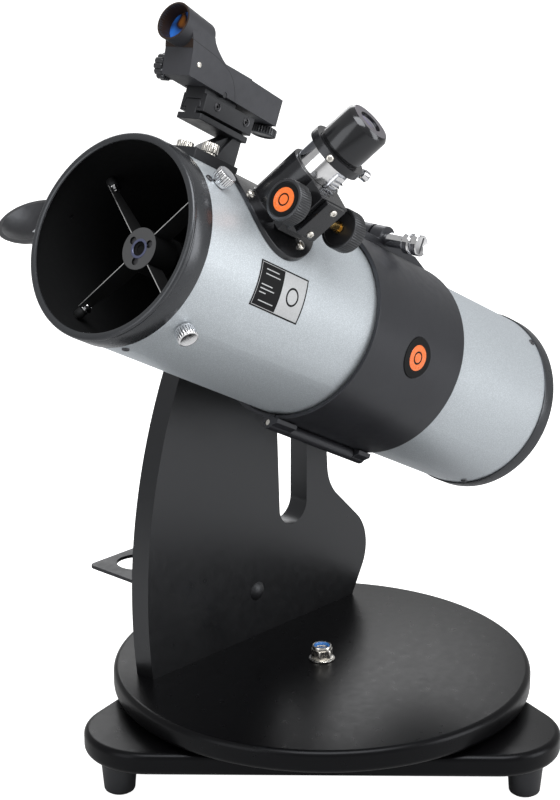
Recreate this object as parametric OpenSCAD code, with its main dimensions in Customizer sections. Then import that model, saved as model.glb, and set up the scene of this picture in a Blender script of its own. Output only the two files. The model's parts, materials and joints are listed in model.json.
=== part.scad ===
// Tabletop Dobsonian reflector: a tube ring on a single side arm that turns on a round board.
// The origin lies on the azimuth axis at floor height, +Z is up, and the tube's front points along -X.

/* [Base] */
// Thickness of the boards
board_t = 18; // [16:0.5:19]
// Distance of the ground board's corner circles from the azimuth axis
corner_d = 152; // [148:1:156]
// Radius of the ground board's corners
corner_r = 51; // [48:1:54]
// Height of the feet
foot_h = 30; // [26:1:32]
// Radius of a foot at its top
foot_r = 14.5; // [13:0.5:16]
// Distance of the feet from the azimuth axis
foot_d = 179; // [174:1:182]
// Radius of the turntable
disc_r = 165.4; // [163:0.2:168]
// Rounding of the turntable's rim
rim_r = 4; // [2:0.5:6]
// Height of the low-friction pads between the boards
pad_h = 4; // [3:0.5:6]

/* [Side arm] */
// Inner face of the arm, measured from the azimuth axis
arm_y = 70; // [70:0.5:73]
// Height of the altitude axis above the floor
altitude_z = 336; // [334:0.5:338]
// Position of the altitude axis along X
altitude_x = 5; // [4:0.5:6]
// Radius of the arm's top
arm_top_r = 67; // [66:0.5:68]
// Radius of the long curved front edge
arm_front_r = 445; // [440:1:450]
// Half the width of the carrying slot at its lower end
slot_r = 16.3; // [15:0.1:17]
// Height of the accessory tray
tray_z = 130; // [126:1:134]
// Radius of the eyepiece holes in the tray
tray_hole_r = 16.2; // [16:0.1:16.5]

/* [Optical tube] */
// Altitude of the tube as drawn, in degrees
altitude_rest = 27.3; // [26:0.1:29]
// Outer radius of the tube
tube_r = 71.5; // [71.3:0.1:71.6]
// Wall thickness of the tube
tube_wall = 1; // [0.8:0.1:1.4]
// Front face, measured along the tube from the altitude axis
tube_front = 259.3; // [257:0.1:262]
// Rear face, measured the same way
tube_rear = -201.5; // [-204:0.1:-199]
// Radius of the primary mirror
mirror_r = 57; // [55:0.5:60]
// Focal length of the primary mirror
mirror_focal = 450; // [430:10:500]

/* [Clamp ring] */
// Outer radius of the ring
ring_r = 76; // [75.8:0.1:76.4]
// Front edge of the ring along the tube
ring_front = 50.4; // [49:0.1:52]
// Rear edge of the ring along the tube
ring_rear = -61.6; // [-63:0.1:-60]
// Radius of the hinge barrel
barrel_r = 4.8; // [4.5:0.1:5]

/* [Focuser] */
// Angle of the focuser round the tube, from the top towards the near side
focuser_angle = 38.5; // [36:0.5:41]
// Position of the focuser along the tube
focuser_s = 160.5; // [158:0.5:163]
// Outer radius of the drawtube
drawtube_r = 17.5; // [17.2:0.1:17.8]
// Number of teeth on the pinion
pinion_teeth = 11; // [11:1:11]

/* [Hidden] */
$fn = 96;
fit = 0.05;
running = 0.1;
gap = 0.3;

// Levels of the base, from the floor up
board_z = foot_h;
pads_z = board_z + board_t;
disc_z = pads_z + pad_h;
top_z = disc_z + board_t;
corner_angles = [161.8, -78.2, 41.8];
pad_r = 12;
pad_d = 138;
foot_peg_r = 4;
foot_peg_h = 11.5;

// Azimuth pivot
bolt_r = 5;
bolt_head_r = 12;
bolt_head_h = 5;
bush_r = 8;
nut_flange_r = 11;
nut_flange_h = 2.2;
nut_h = 8;
nut_hex_r = 8.9;
insert_r = 6.9;
insert_h = 3;

// Side arm
arm_front_x = 322;
arm_front_z = 130;
bulge = [94.5, 112, 41];
hollow = [125.9, 196, 41];
arm_foot_x = 118.3;
slot_x = 43;
slot_z = 171.5;
slot_top_x = 41.4;
slot_top_z = 246;
slot_top_r = 17.9;
dome = [-0.3, 108.6, 8];
arm_screw_r = 3.5;
arm_screw_x = [-85, -30, 30, 85];
arm_screw_top = 112;
tray_t = 3;
tray_bolt_r = 3;
tray_x = 91.5;
tray_depth = 83;
tray_hole_x = 61.4;
tray_hole_y = 146.4;
tray_flange_x = 60;
tray_flange_z = 98;

// Tube frame
tube_y = -11.77;
tube_z = 338.53;
tube_inner_r = tube_r - tube_wall;
lip_r = tube_r + 1.1;
lip_inner_r = 67.5;
lip_t = 1.9;
front_ring_back = 239.7;
rear_ring_front = -188;
front_screws = [38.5, 163, -81];
rear_screws = [40, 160, -80];
front_screw_s = 232;
rear_screw_s = -183;
ring_screw_r = 1.4;

// Altitude bearing
boss_r = 34;
axle_r = 5;
axle_end = arm_y + board_t + 16;
knob_r = 22;
knob_lobes = 8;

// Clamp ring
ring_inner_r = 72.9;
felt_r = 71.8;
felt_margin = 3;
split_top = 3.3;
split_half_gap = 0.3;
hinge_w = 10;
hinge_h = -79.5;
hinge_front = 57;
hinge_rear = -62;
knuckle_front = 32.6;
knuckle_rear = -46.9;
pin_r = 2.2;
ear_inner = -9;
ear_outer = 15;
ear_gap = 1;
clamp_s = -4;
clamp_h = 82;
clamp_r = 3;
sleeve_r = 5.5;
sleeve_end = 34;
clamp_knob_r = 8;
clamp_knob_end = 48.5;
badge_s = -5.6;
badge_r = 15.5;

// Spider and mirrors
vane_s = 222;
vane_t = 1;
vane_front = 6.5;
vane_back = 9.5;
vane_end = 2.5;
hub_r = 15;
hub_front = 229;
hub_rear = 206;
holder_r = 15.5;
secondary_r = 17;
secondary_t = 6;
collimation_d = 9;
vane_knob_r = 7.25;
cell_r = 70.2;
mirror_front_s = -164;
mirror_t = 14;
clip_count = 3;

// Focuser, eyepiece
flange_r = 37.5;
flange_top = 75;
housing_r = 20.8;
housing_top = 113.5;
bore_r = drawtube_r + gap;
drawtube_low = 58;
collar_low = 129.8;
collar_top = 136.2;
collar_r = 22;
eyepiece_bore_r = 15.95;
pinion_t = 26.2;
pinion_h = 96.1;
rack_half = 4;
pitch_r = pinion_teeth / 2;
rack_line = pinion_t - pitch_r;
rack_seat = 16.8;
tooth_up = 0.8;
tooth_down = 1.1;
shaft_r = 3;
shaft_near = 31;
shaft_far = -38;
bush_ring_r = 4.2;
focus_knob_r = 15;
focus_knob_t = 12.4;
focus_knob_near = 22;
focus_knob_far = -29;
cover_s = 9.85;
cover_top = 113;
cover_low = 83;
cover_t = 32;
cover_thick = 3.8;
flange_screw_d = 30;
lock_angle = 156;
collar_screw_r = 1.5;

// Finder
finder_angle = -4;
rail_front = 217;
rail_rear = 165;
foot_front = 222;
foot_rear = 176;
foot_half = 20;
foot_top = 76.5;
nut_s = 200;
nut_w = 12;
shoe_low = 103.5;
shoe_top = 116;
shoe_screw_s = [172, 204];
shoe_screw_h = 110.9;
finder_half = 13;
hood_tilt = 86;
hood_base = [225, 0, 151.2];
hood_length = 30.6;
sight_base = [211, 0, 150.22];
sight_length = 46;
sight_rear_r = 10.4;
sight_front_r = 12.55;
lens_along = 32;
lens_r = 11.8;
trunnion_s = 201;
trunnion_h = 120.5;
trunnion_r = 2;
windage_s = 233;
windage_h = 128;
elevation_s = 139;
small_knob_r = 9.5;

// Phone dock on the far side of the tube
dock_far = -134;
dock_near = -80;
dock_low = 8;
dock_top = 13;
dock_front = 210;
dock_rear = 116;
dock_wall_far = -122;
dock_wall_low = -6;
dock_wall_top = 20;
scoop_centre = [235, -100.6, 1.6];
scoop_tilt = 37;
scoop_rim_high = 25.4;
scoop_rim_wide = 31.2;
scoop_depth = 12;
scoop_wall = 2.4;
scoop_r = (scoop_rim_high * scoop_rim_high / scoop_depth + scoop_depth) / 2;
scoop_half = scoop_r * scoop_rim_wide / scoop_rim_high;
scoop_stem = 12.4;
dock_mirror_back = -5.4;

// ---- helpers ----

// Points on an arc about [x, y] from angle a to angle b
function arc(x, y, r, a, b, n = 24) =
    [for (i = [0 : n]) [x + r * cos(a + (b - a) * i / n), y + r * sin(a + (b - a) * i / n)]];

// Local Z runs along the tube to the front, local X points up from the tube, local Y is the far side
module tube_frame() {
    translate([0, tube_y, tube_z]) rotate([0, altitude_rest - 90, 0]) children();
}

// Local X runs to the front, local Z points out of the tube at an angle round it, from station s
module out_of_tube(angle, s) {
    tube_frame() rotate([0, 0, -angle]) translate([0, 0, s]) rotate(a = 180, v = [1, 0, 1]) children();
}

// Ring round the tube's axis between two stations
module tube_ring(outer, inner, from, to) {
    tube_frame() difference() {
        translate([0, 0, from]) cylinder(r = outer, h = to - from);
        translate([0, 0, from - 1]) cylinder(r = inner, h = to - from + 2);
    }
}

// Cylinder along local X
module along_x(r, from, to) {
    translate([from, 0, 0]) rotate([0, 90, 0]) cylinder(r = r, h = to - from);
}

// Cylinder along local Y
module along_y(r, from, to) {
    translate([0, to, 0]) rotate([90, 0, 0]) cylinder(r = r, h = to - from);
}

// Flat outline in X and Z, given a thickness along Y
module plate_xz(from, to) {
    translate([0, to, 0]) rotate([90, 0, 0]) linear_extrude(to - from) children();
}

// Rectangle with rounded corners, from corner a to corner b
module rounded_rect(a, b, r) {
    translate([a[0] + r, a[1]]) square([b[0] - a[0] - 2 * r, b[1] - a[1]]);
    translate([a[0], a[1] + r]) square([b[0] - a[0], b[1] - a[1] - 2 * r]);
    for (x = [a[0] + r, b[0] - r], y = [a[1] + r, b[1] - r]) {
        translate([x, y]) circle(r = r);
    }
}

// ---- base ----

module ground_outline() {
    centres = [for (a = corner_angles) corner_d * [cos(a), sin(a)]];
    polygon([for (k = [0 : 2], step = [1, 2])
        centres[(k + step) % 3] - corner_r * [cos(corner_angles[k]), sin(corner_angles[k])]]);
    for (c = centres) {
        translate(c) circle(r = corner_r);
    }
}

module ground_board() {
    color("#1c1c1e") difference() {
        translate([0, 0, board_z]) linear_extrude(board_t) ground_outline();
        translate([0, 0, board_z - 1]) cylinder(r = bolt_r + fit, h = board_t + 2);
        translate([0, 0, board_z - 1]) cylinder(r = bolt_head_r + 1, h = bolt_head_h + 2);
        for (a = corner_angles) {
            rotate(a) translate([foot_d, 0, board_z - 1]) cylinder(r = foot_peg_r + fit, h = foot_peg_h + 1.5);
        }
    }
}

module feet() {
    color("#141416") for (a = corner_angles) {
        rotate(a) translate([foot_d, 0, 0]) rotate_extrude() polygon([
            [0, 0], [10, 0], [11.6, 1.6], [12, 4], [foot_r, foot_h],
            [foot_peg_r, foot_h], [foot_peg_r, foot_h + foot_peg_h], [0, foot_h + foot_peg_h]
        ]);
    }
}

module azimuth_pads() {
    color("white") for (a = corner_angles) {
        rotate(a) translate([pad_d, 0, pads_z]) cylinder(r = pad_r, h = pad_h - running);
    }
}

module pivot_bolt() {
    color("silver") {
        translate([0, 0, board_z + 0.5]) cylinder(r = bolt_head_r, h = bolt_head_h);
        translate([0, 0, board_z + 1]) cylinder(r = bolt_r, h = top_z + 8 - board_z);
    }
}

module pivot_nut() {
    color("silver") translate([0, 0, top_z + 0.2]) difference() {
        union() {
            cylinder(r = nut_flange_r, h = nut_flange_h);
            cylinder(r = nut_hex_r, h = nut_h, $fn = 6);
            cylinder(r = insert_r + 0.8, h = nut_h + insert_h);
        }
        translate([0, 0, -1]) cylinder(r = bolt_r + fit, h = nut_h + insert_h + 2);
        translate([0, 0, nut_h]) cylinder(r = insert_r, h = insert_h + 1);
    }
}

module nut_insert() {
    color("royalblue") translate([0, 0, top_z + 0.2 + nut_h]) difference() {
        cylinder(r = insert_r - fit, h = insert_h - 0.3);
        translate([0, 0, -1]) cylinder(r = bolt_r + fit, h = insert_h + 2);
    }
}

// ---- turntable ----

module turntable_disc() {
    color("#1b1b1d") difference() {
        translate([0, 0, disc_z]) rotate_extrude($fn = 180) {
            square([disc_r - rim_r, board_t]);
            translate([0, rim_r]) square([disc_r, board_t - 2 * rim_r]);
            translate([disc_r - rim_r, rim_r]) circle(r = rim_r);
            translate([disc_r - rim_r, board_t - rim_r]) circle(r = rim_r);
        }
        translate([0, 0, disc_z - 1]) cylinder(r = bush_r + fit, h = board_t + 2);
        for (x = arm_screw_x) {
            translate([x, arm_y + board_t / 2, disc_z - 1]) cylinder(r = arm_screw_r + fit, h = board_t + 2);
            translate([x, arm_y + board_t / 2, disc_z - 1]) cylinder(r = 6.5, h = 6);
        }
    }
}

module pivot_bush() {
    color("ivory") translate([0, 0, disc_z]) difference() {
        cylinder(r = bush_r, h = board_t);
        translate([0, 0, -1]) cylinder(r = bolt_r + running, h = board_t + 2);
    }
}

// Angle at which the common tangent of the arm's two rear curves leaves the lower one
function rear_angle() =
    let (d = [hollow[0] - bulge[0], hollow[1] - bulge[1]])
    atan2(d[1], d[0]) - acos((bulge[2] + hollow[2]) / norm(d));

// Angle at which the straight line from the arm's rear foot meets the lower rear curve
function foot_angle() =
    let (d = [arm_foot_x - bulge[0], top_z - bulge[1]])
    atan2(d[1], d[0]) + acos(bulge[2] / norm(d));

module arm_outline() {
    tangent = atan2(altitude_z - arm_front_z, altitude_x - arm_front_x);
    low = 180 + asin((arm_front_z - top_z) / arm_front_r);
    polygon(concat(
        arc(arm_front_x, arm_front_z, arm_front_r, low, tangent, 48),
        arc(altitude_x, altitude_z, arm_top_r, tangent, 0, 36),
        arc(hollow[0], hollow[1], hollow[2], 180, 180 + rear_angle(), 12),
        arc(bulge[0], bulge[1], bulge[2], rear_angle(), foot_angle(), 18),
        [[arm_foot_x, top_z]]
    ));
}

module slot_outline() {
    translate([slot_x, slot_z]) circle(r = slot_r);
    translate([slot_top_x, slot_top_z]) circle(r = slot_top_r);
    polygon([
        [slot_x - slot_r, slot_z], [slot_x + slot_r, slot_z],
        [slot_top_x + slot_top_r, slot_top_z], [slot_top_x - slot_top_r, slot_top_z]
    ]);
}

module side_arm() {
    color("#2a2a2c") difference() {
        plate_xz(arm_y, arm_y + board_t) difference() {
            arm_outline();
            slot_outline();
        }
        translate([altitude_x, 0, altitude_z]) along_y(axle_r + running, arm_y - 1, arm_y + board_t + 1);
        translate([dome[0], 0, dome[1]]) along_y(tray_bolt_r + fit, arm_y - 1, arm_y + board_t + 1);
        for (x = arm_screw_x) {
            translate([x, arm_y + board_t / 2, top_z - 1])
                cylinder(r = arm_screw_r + fit, h = arm_screw_top + 2 - top_z);
        }
    }
}

module arm_screws() {
    color("silver") for (x = arm_screw_x) {
        translate([x, arm_y + board_t / 2, disc_z + 0.5]) {
            cylinder(r = 6, h = 4);
            cylinder(r = arm_screw_r, h = arm_screw_top - disc_z - 0.5);
        }
    }
}

// Domed connector bolt, with its nut on the tray's flange
module tray_bolt() {
    dome_h = 3.4;
    dome_sphere = (dome[2] * dome[2] + dome_h * dome_h) / (2 * dome_h);
    color("#3a3a3c") translate([dome[0], 0, dome[1]]) {
        intersection() {
            translate([0, arm_y + dome_sphere - dome_h, 0]) sphere(r = dome_sphere);
            along_y(dome[2] + 1, arm_y - dome_h - 1, arm_y);
        }
        along_y(tray_bolt_r, arm_y - 1, arm_y + board_t + 9);
        translate([0, arm_y + board_t + tray_t + 5.5, 0]) rotate([90, 0, 0]) cylinder(r = 6, h = 5.4, $fn = 6);
    }
}

// Plate against the arm that carries the tray
module tray_flange() {
    inner = arm_y + board_t;
    color("#202022") difference() {
        plate_xz(inner, inner + tray_t) {
            rounded_rect([-tray_flange_x, tray_flange_z], [tray_flange_x, tray_z - tray_t / 2], 3);
        }
        translate([dome[0], 0, dome[1]]) along_y(tray_bolt_r + fit, inner - 1, inner + tray_t + 1);
    }
}

module accessory_tray() {
    inner = arm_y + board_t;
    color("#1d1d1f") difference() {
        translate([0, 0, tray_z - tray_t / 2]) linear_extrude(tray_t) {
            rounded_rect([-tray_x, inner], [tray_x, inner + tray_depth], 5);
        }
        for (x = [-tray_hole_x, 0, tray_hole_x]) {
            translate([x, tray_hole_y, tray_z - tray_t]) cylinder(r = tray_hole_r, h = 2 * tray_t);
        }
    }
}

// ---- clamp ring and altitude bearing ----

// Regions of the section across the tube, as [up, -near] pairs, on each side of the ring's split
module outer_region() {
    polygon([
        [0, -split_top - split_half_gap], [120, -split_top - split_half_gap], [120, -120],
        [-120, -120], [-120, -hinge_w - split_half_gap], [0, -hinge_w - split_half_gap]
    ]);
}

module inner_region() {
    polygon([
        [0, -split_top + split_half_gap], [120, -split_top + split_half_gap], [120, 120],
        [-120, 120], [-120, -hinge_w + split_half_gap], [0, -hinge_w + split_half_gap]
    ]);
}

module ring_band(outer, inner, from, to) {
    intersection() {
        tube_ring(outer, inner, from, to);
        tube_frame() translate([0, 0, from - 1]) linear_extrude(to - from + 2) children();
    }
}

// Ear plate between two distances towards the near side
module ear(from, to) {
    difference() {
        out_of_tube(0, 0) plate_xz(from, to) {
            polygon([
                [ring_rear, 66], [ring_rear, 73.5], [-44, 80], [ring_front - 17, 80],
                [ring_front, 73.5], [ring_front, 66]
            ]);
            translate([clamp_s, clamp_h]) circle(r = 9.5);
            translate([clamp_s - 9.5, 70]) square([19, clamp_h - 70]);
        }
        tube_frame() translate([0, 0, ring_rear - 1]) cylinder(r = 74.5, h = ring_front - ring_rear + 2);
    }
}

// Hinge knuckle between two stations, with the leaf that joins it to the band on one side
module knuckle(from, to, side) {
    leaf = side * 9;
    difference() {
        union() {
            out_of_tube(0, 0) translate([0, hinge_w, hinge_h]) along_x(barrel_r, from, to);
            difference() {
                out_of_tube(0, 0) translate([from, 0, 0]) rotate([90, 0, 90]) linear_extrude(to - from) {
                    polygon([
                        [hinge_w, hinge_h - barrel_r + 0.5], [hinge_w + side * split_half_gap, hinge_h + 5],
                        [hinge_w + leaf, hinge_h + 5], [hinge_w + leaf, hinge_h + 1.5]
                    ]);
                }
                tube_frame() translate([0, 0, from - 1]) cylinder(r = 74.5, h = to - from + 2);
            }
        }
        out_of_tube(0, 0) translate([0, hinge_w, hinge_h]) along_x(pin_r + fit, from - 1, to + 1);
    }
}

module hinge_clearance(from, to) {
    out_of_tube(0, 0) translate([0, hinge_w, hinge_h]) along_x(barrel_r + gap, from, to);
}

module ring_inner_half() {
    color("#2b2b2e") {
        difference() {
            union() {
                ring_band(ring_r, ring_inner_r, ring_rear, ring_front) inner_region();
                ear(ear_inner, split_top - ear_gap);
            }
            out_of_tube(0, 0) translate([clamp_s, 0, clamp_h]) along_y(clamp_r + 0.6, ear_inner - 1, ear_outer);
            hinge_clearance(knuckle_front - gap, hinge_front + 1);
            hinge_clearance(hinge_rear - 1, knuckle_rear + gap);
        }
        knuckle(knuckle_rear + gap / 2, knuckle_front - gap / 2, -1);
    }
}

module ring_outer_half() {
    color("#2b2b2e") {
        difference() {
            union() {
                ring_band(ring_r, ring_inner_r, ring_rear, ring_front) outer_region();
                ear(split_top + ear_gap, ear_outer);
            }
            out_of_tube(0, 0) translate([clamp_s, 0, clamp_h]) along_y(clamp_r + running, 0, ear_outer + 1);
            hinge_clearance(knuckle_rear - gap, knuckle_front + gap);
            intersection() {
                out_of_tube(90, badge_s) cylinder(r = badge_r + 0.2, h = 90);
                tube_ring(ring_r + 1, ring_r - 0.5, badge_s - 20, badge_s + 20);
            }
        }
        knuckle(knuckle_front + gap / 2, hinge_front, 1);
        knuckle(hinge_rear, knuckle_rear - gap / 2, 1);
    }
}

module felt_inner() {
    color("dimgray") intersection() {
        ring_band(ring_inner_r - fit, felt_r, ring_rear + felt_margin, ring_front - felt_margin) inner_region();
        tube_frame() translate([-100, -8, ring_rear]) cube([200, 120, ring_front - ring_rear]);
    }
}

module felt_outer() {
    color("dimgray") intersection() {
        ring_band(ring_inner_r - fit, felt_r, ring_rear + felt_margin, ring_front - felt_margin) outer_region();
        tube_frame() translate([-100, -120, ring_rear]) cube([200, 104, ring_front - ring_rear]);
    }
}

module hinge_pin() {
    color("silver") out_of_tube(0, 0) translate([0, hinge_w, hinge_h])
        along_x(pin_r, hinge_rear + 1, hinge_front - 1);
}

module badge() {
    color("#d9622b") intersection() {
        out_of_tube(90, badge_s) cylinder(r = badge_r, h = 90);
        tube_ring(ring_r + 0.5, ring_r - 0.4, -40, 40);
    }
}

module altitude_boss() {
    color("#232326") difference() {
        translate([altitude_x, 0, altitude_z]) along_y(boss_r, arm_y - 18, arm_y - gap);
        tube_frame() translate([0, 0, -80]) cylinder(r = ring_r + fit, h = 160);
        translate([altitude_x, 0, altitude_z]) along_y(axle_r + fit, 0, arm_y);
    }
}

module altitude_axle() {
    color("silver") difference() {
        translate([altitude_x, 0, altitude_z]) along_y(axle_r, arm_y - 9, axle_end);
        tube_frame() translate([0, 0, -80]) cylinder(r = ring_r + fit, h = 160);
    }
}

module altitude_knob() {
    outer = arm_y + board_t;
    color("#202022") translate([altitude_x, 0, altitude_z]) difference() {
        union() {
            along_y(11, outer + gap, outer + 4);
            along_y(knob_r, outer + 4, outer + 19);
        }
        along_y(axle_r + fit, outer, axle_end + 0.5);
        for (k = [0 : knob_lobes - 1]) {
            rotate([0, k * 360 / knob_lobes, 0]) translate([knob_r + 3.5, 0, 0]) along_y(6, outer + 3, outer + 20);
        }
    }
}

module clamp_sleeve() {
    color("silver") out_of_tube(0, 0) translate([clamp_s, 0, clamp_h]) difference() {
        along_y(sleeve_r, ear_outer + fit, sleeve_end - running);
        along_y(clamp_r + running, ear_outer - 1, sleeve_end + 1);
    }
}

module clamp_knob() {
    color("silver") out_of_tube(0, 0) translate([clamp_s, 0, clamp_h]) difference() {
        union() {
            along_y(clamp_r, ear_inner, sleeve_end + 1);
            along_y(clamp_knob_r, sleeve_end, sleeve_end + 6.5);
            along_y(clamp_knob_r - 1.2, sleeve_end + 6, clamp_knob_end - 6);
            along_y(clamp_knob_r, clamp_knob_end - 6.5, clamp_knob_end);
        }
        translate([-0.9, clamp_knob_end - 1.5, -10]) cube([1.8, 3, 20]);
    }
}

// ---- tube ----

module optical_tube() {
    color("#c3c6c9") difference() {
        tube_ring(tube_r, tube_inner_r, tube_rear + lip_t + 0.1, tube_front - lip_t - 0.1);
        out_of_tube(focuser_angle, focuser_s) translate([0, 0, 50]) cylinder(r = 23, h = 40);
        for (k = [0 : 3]) {
            out_of_tube(focuser_angle + 90 * k, vane_s) translate([0, 0, 60]) cylinder(r = 2.1, h = 20);
        }
        for (a = front_screws) {
            out_of_tube(a, front_screw_s) translate([0, 0, 60]) cylinder(r = ring_screw_r + fit, h = 20);
        }
        for (a = rear_screws) {
            out_of_tube(a, rear_screw_s) translate([0, 0, 60]) cylinder(r = ring_screw_r + fit, h = 20);
        }
    }
}

// Trim ring: a sleeve over the tube's end and a lip across it
module trim_ring(lip_from, lip_to, sleeve_from, sleeve_to) {
    color("#26282a") tube_frame() difference() {
        union() {
            translate([0, 0, lip_from]) cylinder(r = lip_r, h = lip_to - lip_from, $fn = 120);
            translate([0, 0, sleeve_from]) cylinder(r = lip_r, h = sleeve_to - sleeve_from, $fn = 120);
        }
        translate([0, 0, sleeve_from - 2]) cylinder(r = lip_inner_r, h = sleeve_to - sleeve_from + 4, $fn = 120);
        intersection() {
            translate([0, 0, sleeve_from - 1]) cylinder(r = tube_r + fit, h = sleeve_to - sleeve_from + 2, $fn = 120);
            translate([-100, -100, lip_from > 0 ? sleeve_from - 1 : lip_to])
                cube([200, 200, sleeve_to - sleeve_from + 1 - (lip_to - lip_from)]);
        }
    }
}

module front_ring() {
    trim_ring(tube_front - lip_t, tube_front, front_ring_back, tube_front);
}

module rear_ring() {
    trim_ring(tube_rear, tube_rear + lip_t, tube_rear, rear_ring_front);
}

module ring_screw(angle, s) {
    out_of_tube(angle, s) {
        translate([0, 0, tube_inner_r - 3]) cylinder(r = ring_screw_r, h = 5);
        intersection() {
            translate([0, 0, tube_r + 1.4 - 4]) sphere(r = 4);
            translate([0, 0, tube_r + fit]) cylinder(r = 2.6, h = 3);
        }
    }
}

module ring_screws() {
    color("#303032") {
        for (a = front_screws) {
            ring_screw(a, front_screw_s);
        }
        for (a = rear_screws) {
            ring_screw(a, rear_screw_s);
        }
    }
}

module spider_vanes() {
    color("#151515") for (k = [0 : 3]) {
        out_of_tube(focuser_angle + 90 * k, vane_s) difference() {
            union() {
                plate_xz(-vane_t / 2, vane_t / 2) polygon([
                    [vane_front, hub_r - 2], [vane_front, 67], [-vane_end, 67],
                    [-vane_end, 62], [-vane_back, 30], [-vane_back, hub_r - 2]
                ]);
                translate([0, 0, tube_inner_r - 8]) cylinder(r = 3.6, h = 7);
            }
            translate([0, 0, tube_inner_r - 9]) cylinder(r = 2.1, h = 20);
        }
    }
}

module spider_hub() {
    color("#2a2a2b") tube_frame() difference() {
        translate([0, 0, hub_rear]) cylinder(r = hub_r, h = hub_front - hub_rear);
        translate([0, 0, hub_front - 3]) cylinder(r = 5, h = 4);
        for (k = [0 : 2]) {
            rotate(60 + 120 * k) translate([collimation_d, 0, hub_rear - 1]) cylinder(r = 1.6, h = 40);
            rotate(60 + 120 * k) translate([collimation_d, 0, hub_front - 4]) cylinder(r = 2.7, h = 5);
        }
        for (k = [0 : 3]) {
            rotate(-focuser_angle + 90 * k) translate([hub_r - 2.2, -vane_t / 2 - fit, vane_s - vane_back - fit])
                cube([5, vane_t + 2 * fit, vane_back + vane_front + 2 * fit]);
        }
    }
}

// Space behind the secondary mirror's back, in the focuser's frame
module behind_mirror(depth) {
    rotate([0, -45, 0]) translate([-90, -40, -depth - 90]) cube([180, 80, 90]);
}

module secondary_holder() {
    color("#19191a") {
        intersection() {
            out_of_tube(focuser_angle, focuser_s) along_x(holder_r, -30, 40);
            out_of_tube(focuser_angle, focuser_s) behind_mirror(secondary_t + 0.1);
        }
        tube_frame() translate([0, 0, focuser_s + 39]) cylinder(r = 3, h = hub_rear - focuser_s - 39.1);
    }
}

module secondary_mirror() {
    color("lightsteelblue") out_of_tube(focuser_angle, focuser_s) intersection() {
        along_x(secondary_r, -30, 30);
        rotate([0, -45, 0]) translate([-40, -30, -secondary_t]) cube([80, 60, secondary_t]);
    }
}

module collimation_screws() {
    color("silver") tube_frame() for (k = [0 : 2]) {
        rotate(60 + 120 * k) translate([collimation_d, 0, 0]) {
            translate([0, 0, focuser_s + 40.1]) cylinder(r = 1.5, h = hub_front - 4 - focuser_s - 40.1);
            translate([0, 0, hub_front - 3.9]) cylinder(r = 2.5, h = 2.4);
        }
    }
}

module vane_knobs() {
    color("gainsboro") for (k = [0 : 3]) {
        out_of_tube(focuser_angle + 90 * k, vane_s) {
            translate([0, 0, tube_inner_r - 7.5]) cylinder(r = 2, h = 12);
            translate([0, 0, tube_r + 0.4]) cylinder(r = vane_knob_r - 1, h = 2);
            translate([0, 0, tube_r + 2]) cylinder(r = vane_knob_r, h = 8);
        }
    }
}

module mirror_cell() {
    color("#1a1a1b") tube_frame() difference() {
        union() {
            translate([0, 0, -199]) cylinder(r = cell_r, h = 9);
            translate([0, 0, -190.5]) cylinder(r = 52, h = 12.3);
        }
        translate([0, 0, -189.9]) cylinder(r = 42, h = 20);
        for (k = [0 : clip_count - 1]) {
            rotate(60 + 120 * k) translate([46, 0, -200]) cylinder(r = 3 + fit, h = 21);
        }
    }
}

module primary_mirror() {
    back = mirror_front_s - mirror_t;
    sag = mirror_r * mirror_r / (4 * mirror_focal);
    color("aliceblue") tube_frame() difference() {
        translate([0, 0, back]) cylinder(r = mirror_r, h = mirror_t, $fn = 120);
        translate([0, 0, mirror_front_s - sag + 2 * mirror_focal]) sphere(r = 2 * mirror_focal, $fn = 180);
    }
}

module mirror_clips() {
    color("#101010") tube_frame() for (k = [0 : clip_count - 1]) {
        rotate(120 * k) {
            translate([mirror_r + 0.2, -6, -189.9]) cube([4, 12, 27.4]);
            translate([mirror_r - 4, -6, mirror_front_s + 0.1]) cube([5, 12, 1.4]);
        }
    }
}

module cell_knobs() {
    color("gainsboro") tube_frame() for (k = [0 : clip_count - 1]) {
        rotate(60 + 120 * k) translate([46, 0, 0]) {
            translate([0, 0, -206]) cylinder(r = 7, h = 6.9);
            translate([0, 0, -201]) cylinder(r = 3, h = 20);
        }
    }
}

// ---- focuser and eyepiece ----

module focuser_base() {
    color("#1b1b1d") difference() {
        union() {
            intersection() {
                out_of_tube(focuser_angle, focuser_s) cylinder(r = flange_r, h = 90);
                tube_ring(flange_top, tube_r + 0.1, 100, 220);
            }
            out_of_tube(focuser_angle, focuser_s) {
                translate([0, 0, tube_r - 2]) cylinder(r = housing_r, h = housing_top - tube_r + 2);
                translate([-12.5, 0, tube_r + 1]) cube([25, 24, 8]);
                translate([-14.5, 0, 80]) cube([29, 31.9, housing_top - 80]);
            }
        }
        out_of_tube(focuser_angle, focuser_s) {
            translate([0, 0, 60]) cylinder(r = bore_r, h = 60);
            translate([-rack_half - 0.5, 0, 60]) cube([2 * rack_half + 1, rack_line + tooth_up + 0.4, 60]);
            translate([0, pinion_t, pinion_h]) along_x(pitch_r + tooth_up + 0.5, -rack_half - 0.5, rack_half + 0.5);
            translate([0, pinion_t, pinion_h]) along_x(shaft_r + running, -20, 20);
        }
        intersection() {
            out_of_tube(focuser_angle, focuser_s) translate([-40, -40, 60]) cube([80, 80, 12]);
            tube_frame() cylinder(r = tube_r + 0.1, h = 260);
        }
    }
}

module focuser_screws() {
    color("gainsboro") for (a = [0, 120, 240]) {
        out_of_tube(focuser_angle + asin(flange_screw_d * sin(a) / flange_top), focuser_s + flange_screw_d * cos(a))
            translate([0, 0, flange_top]) cylinder(r = 3, h = 1.8);
    }
    color("gainsboro") out_of_tube(focuser_angle, focuser_s) {
        for (h = [86.5, 108.5]) {
            translate([-1, cover_t + cover_thick, h]) along_y(2.4, fit, 1.3);
        }
    }
}

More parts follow.
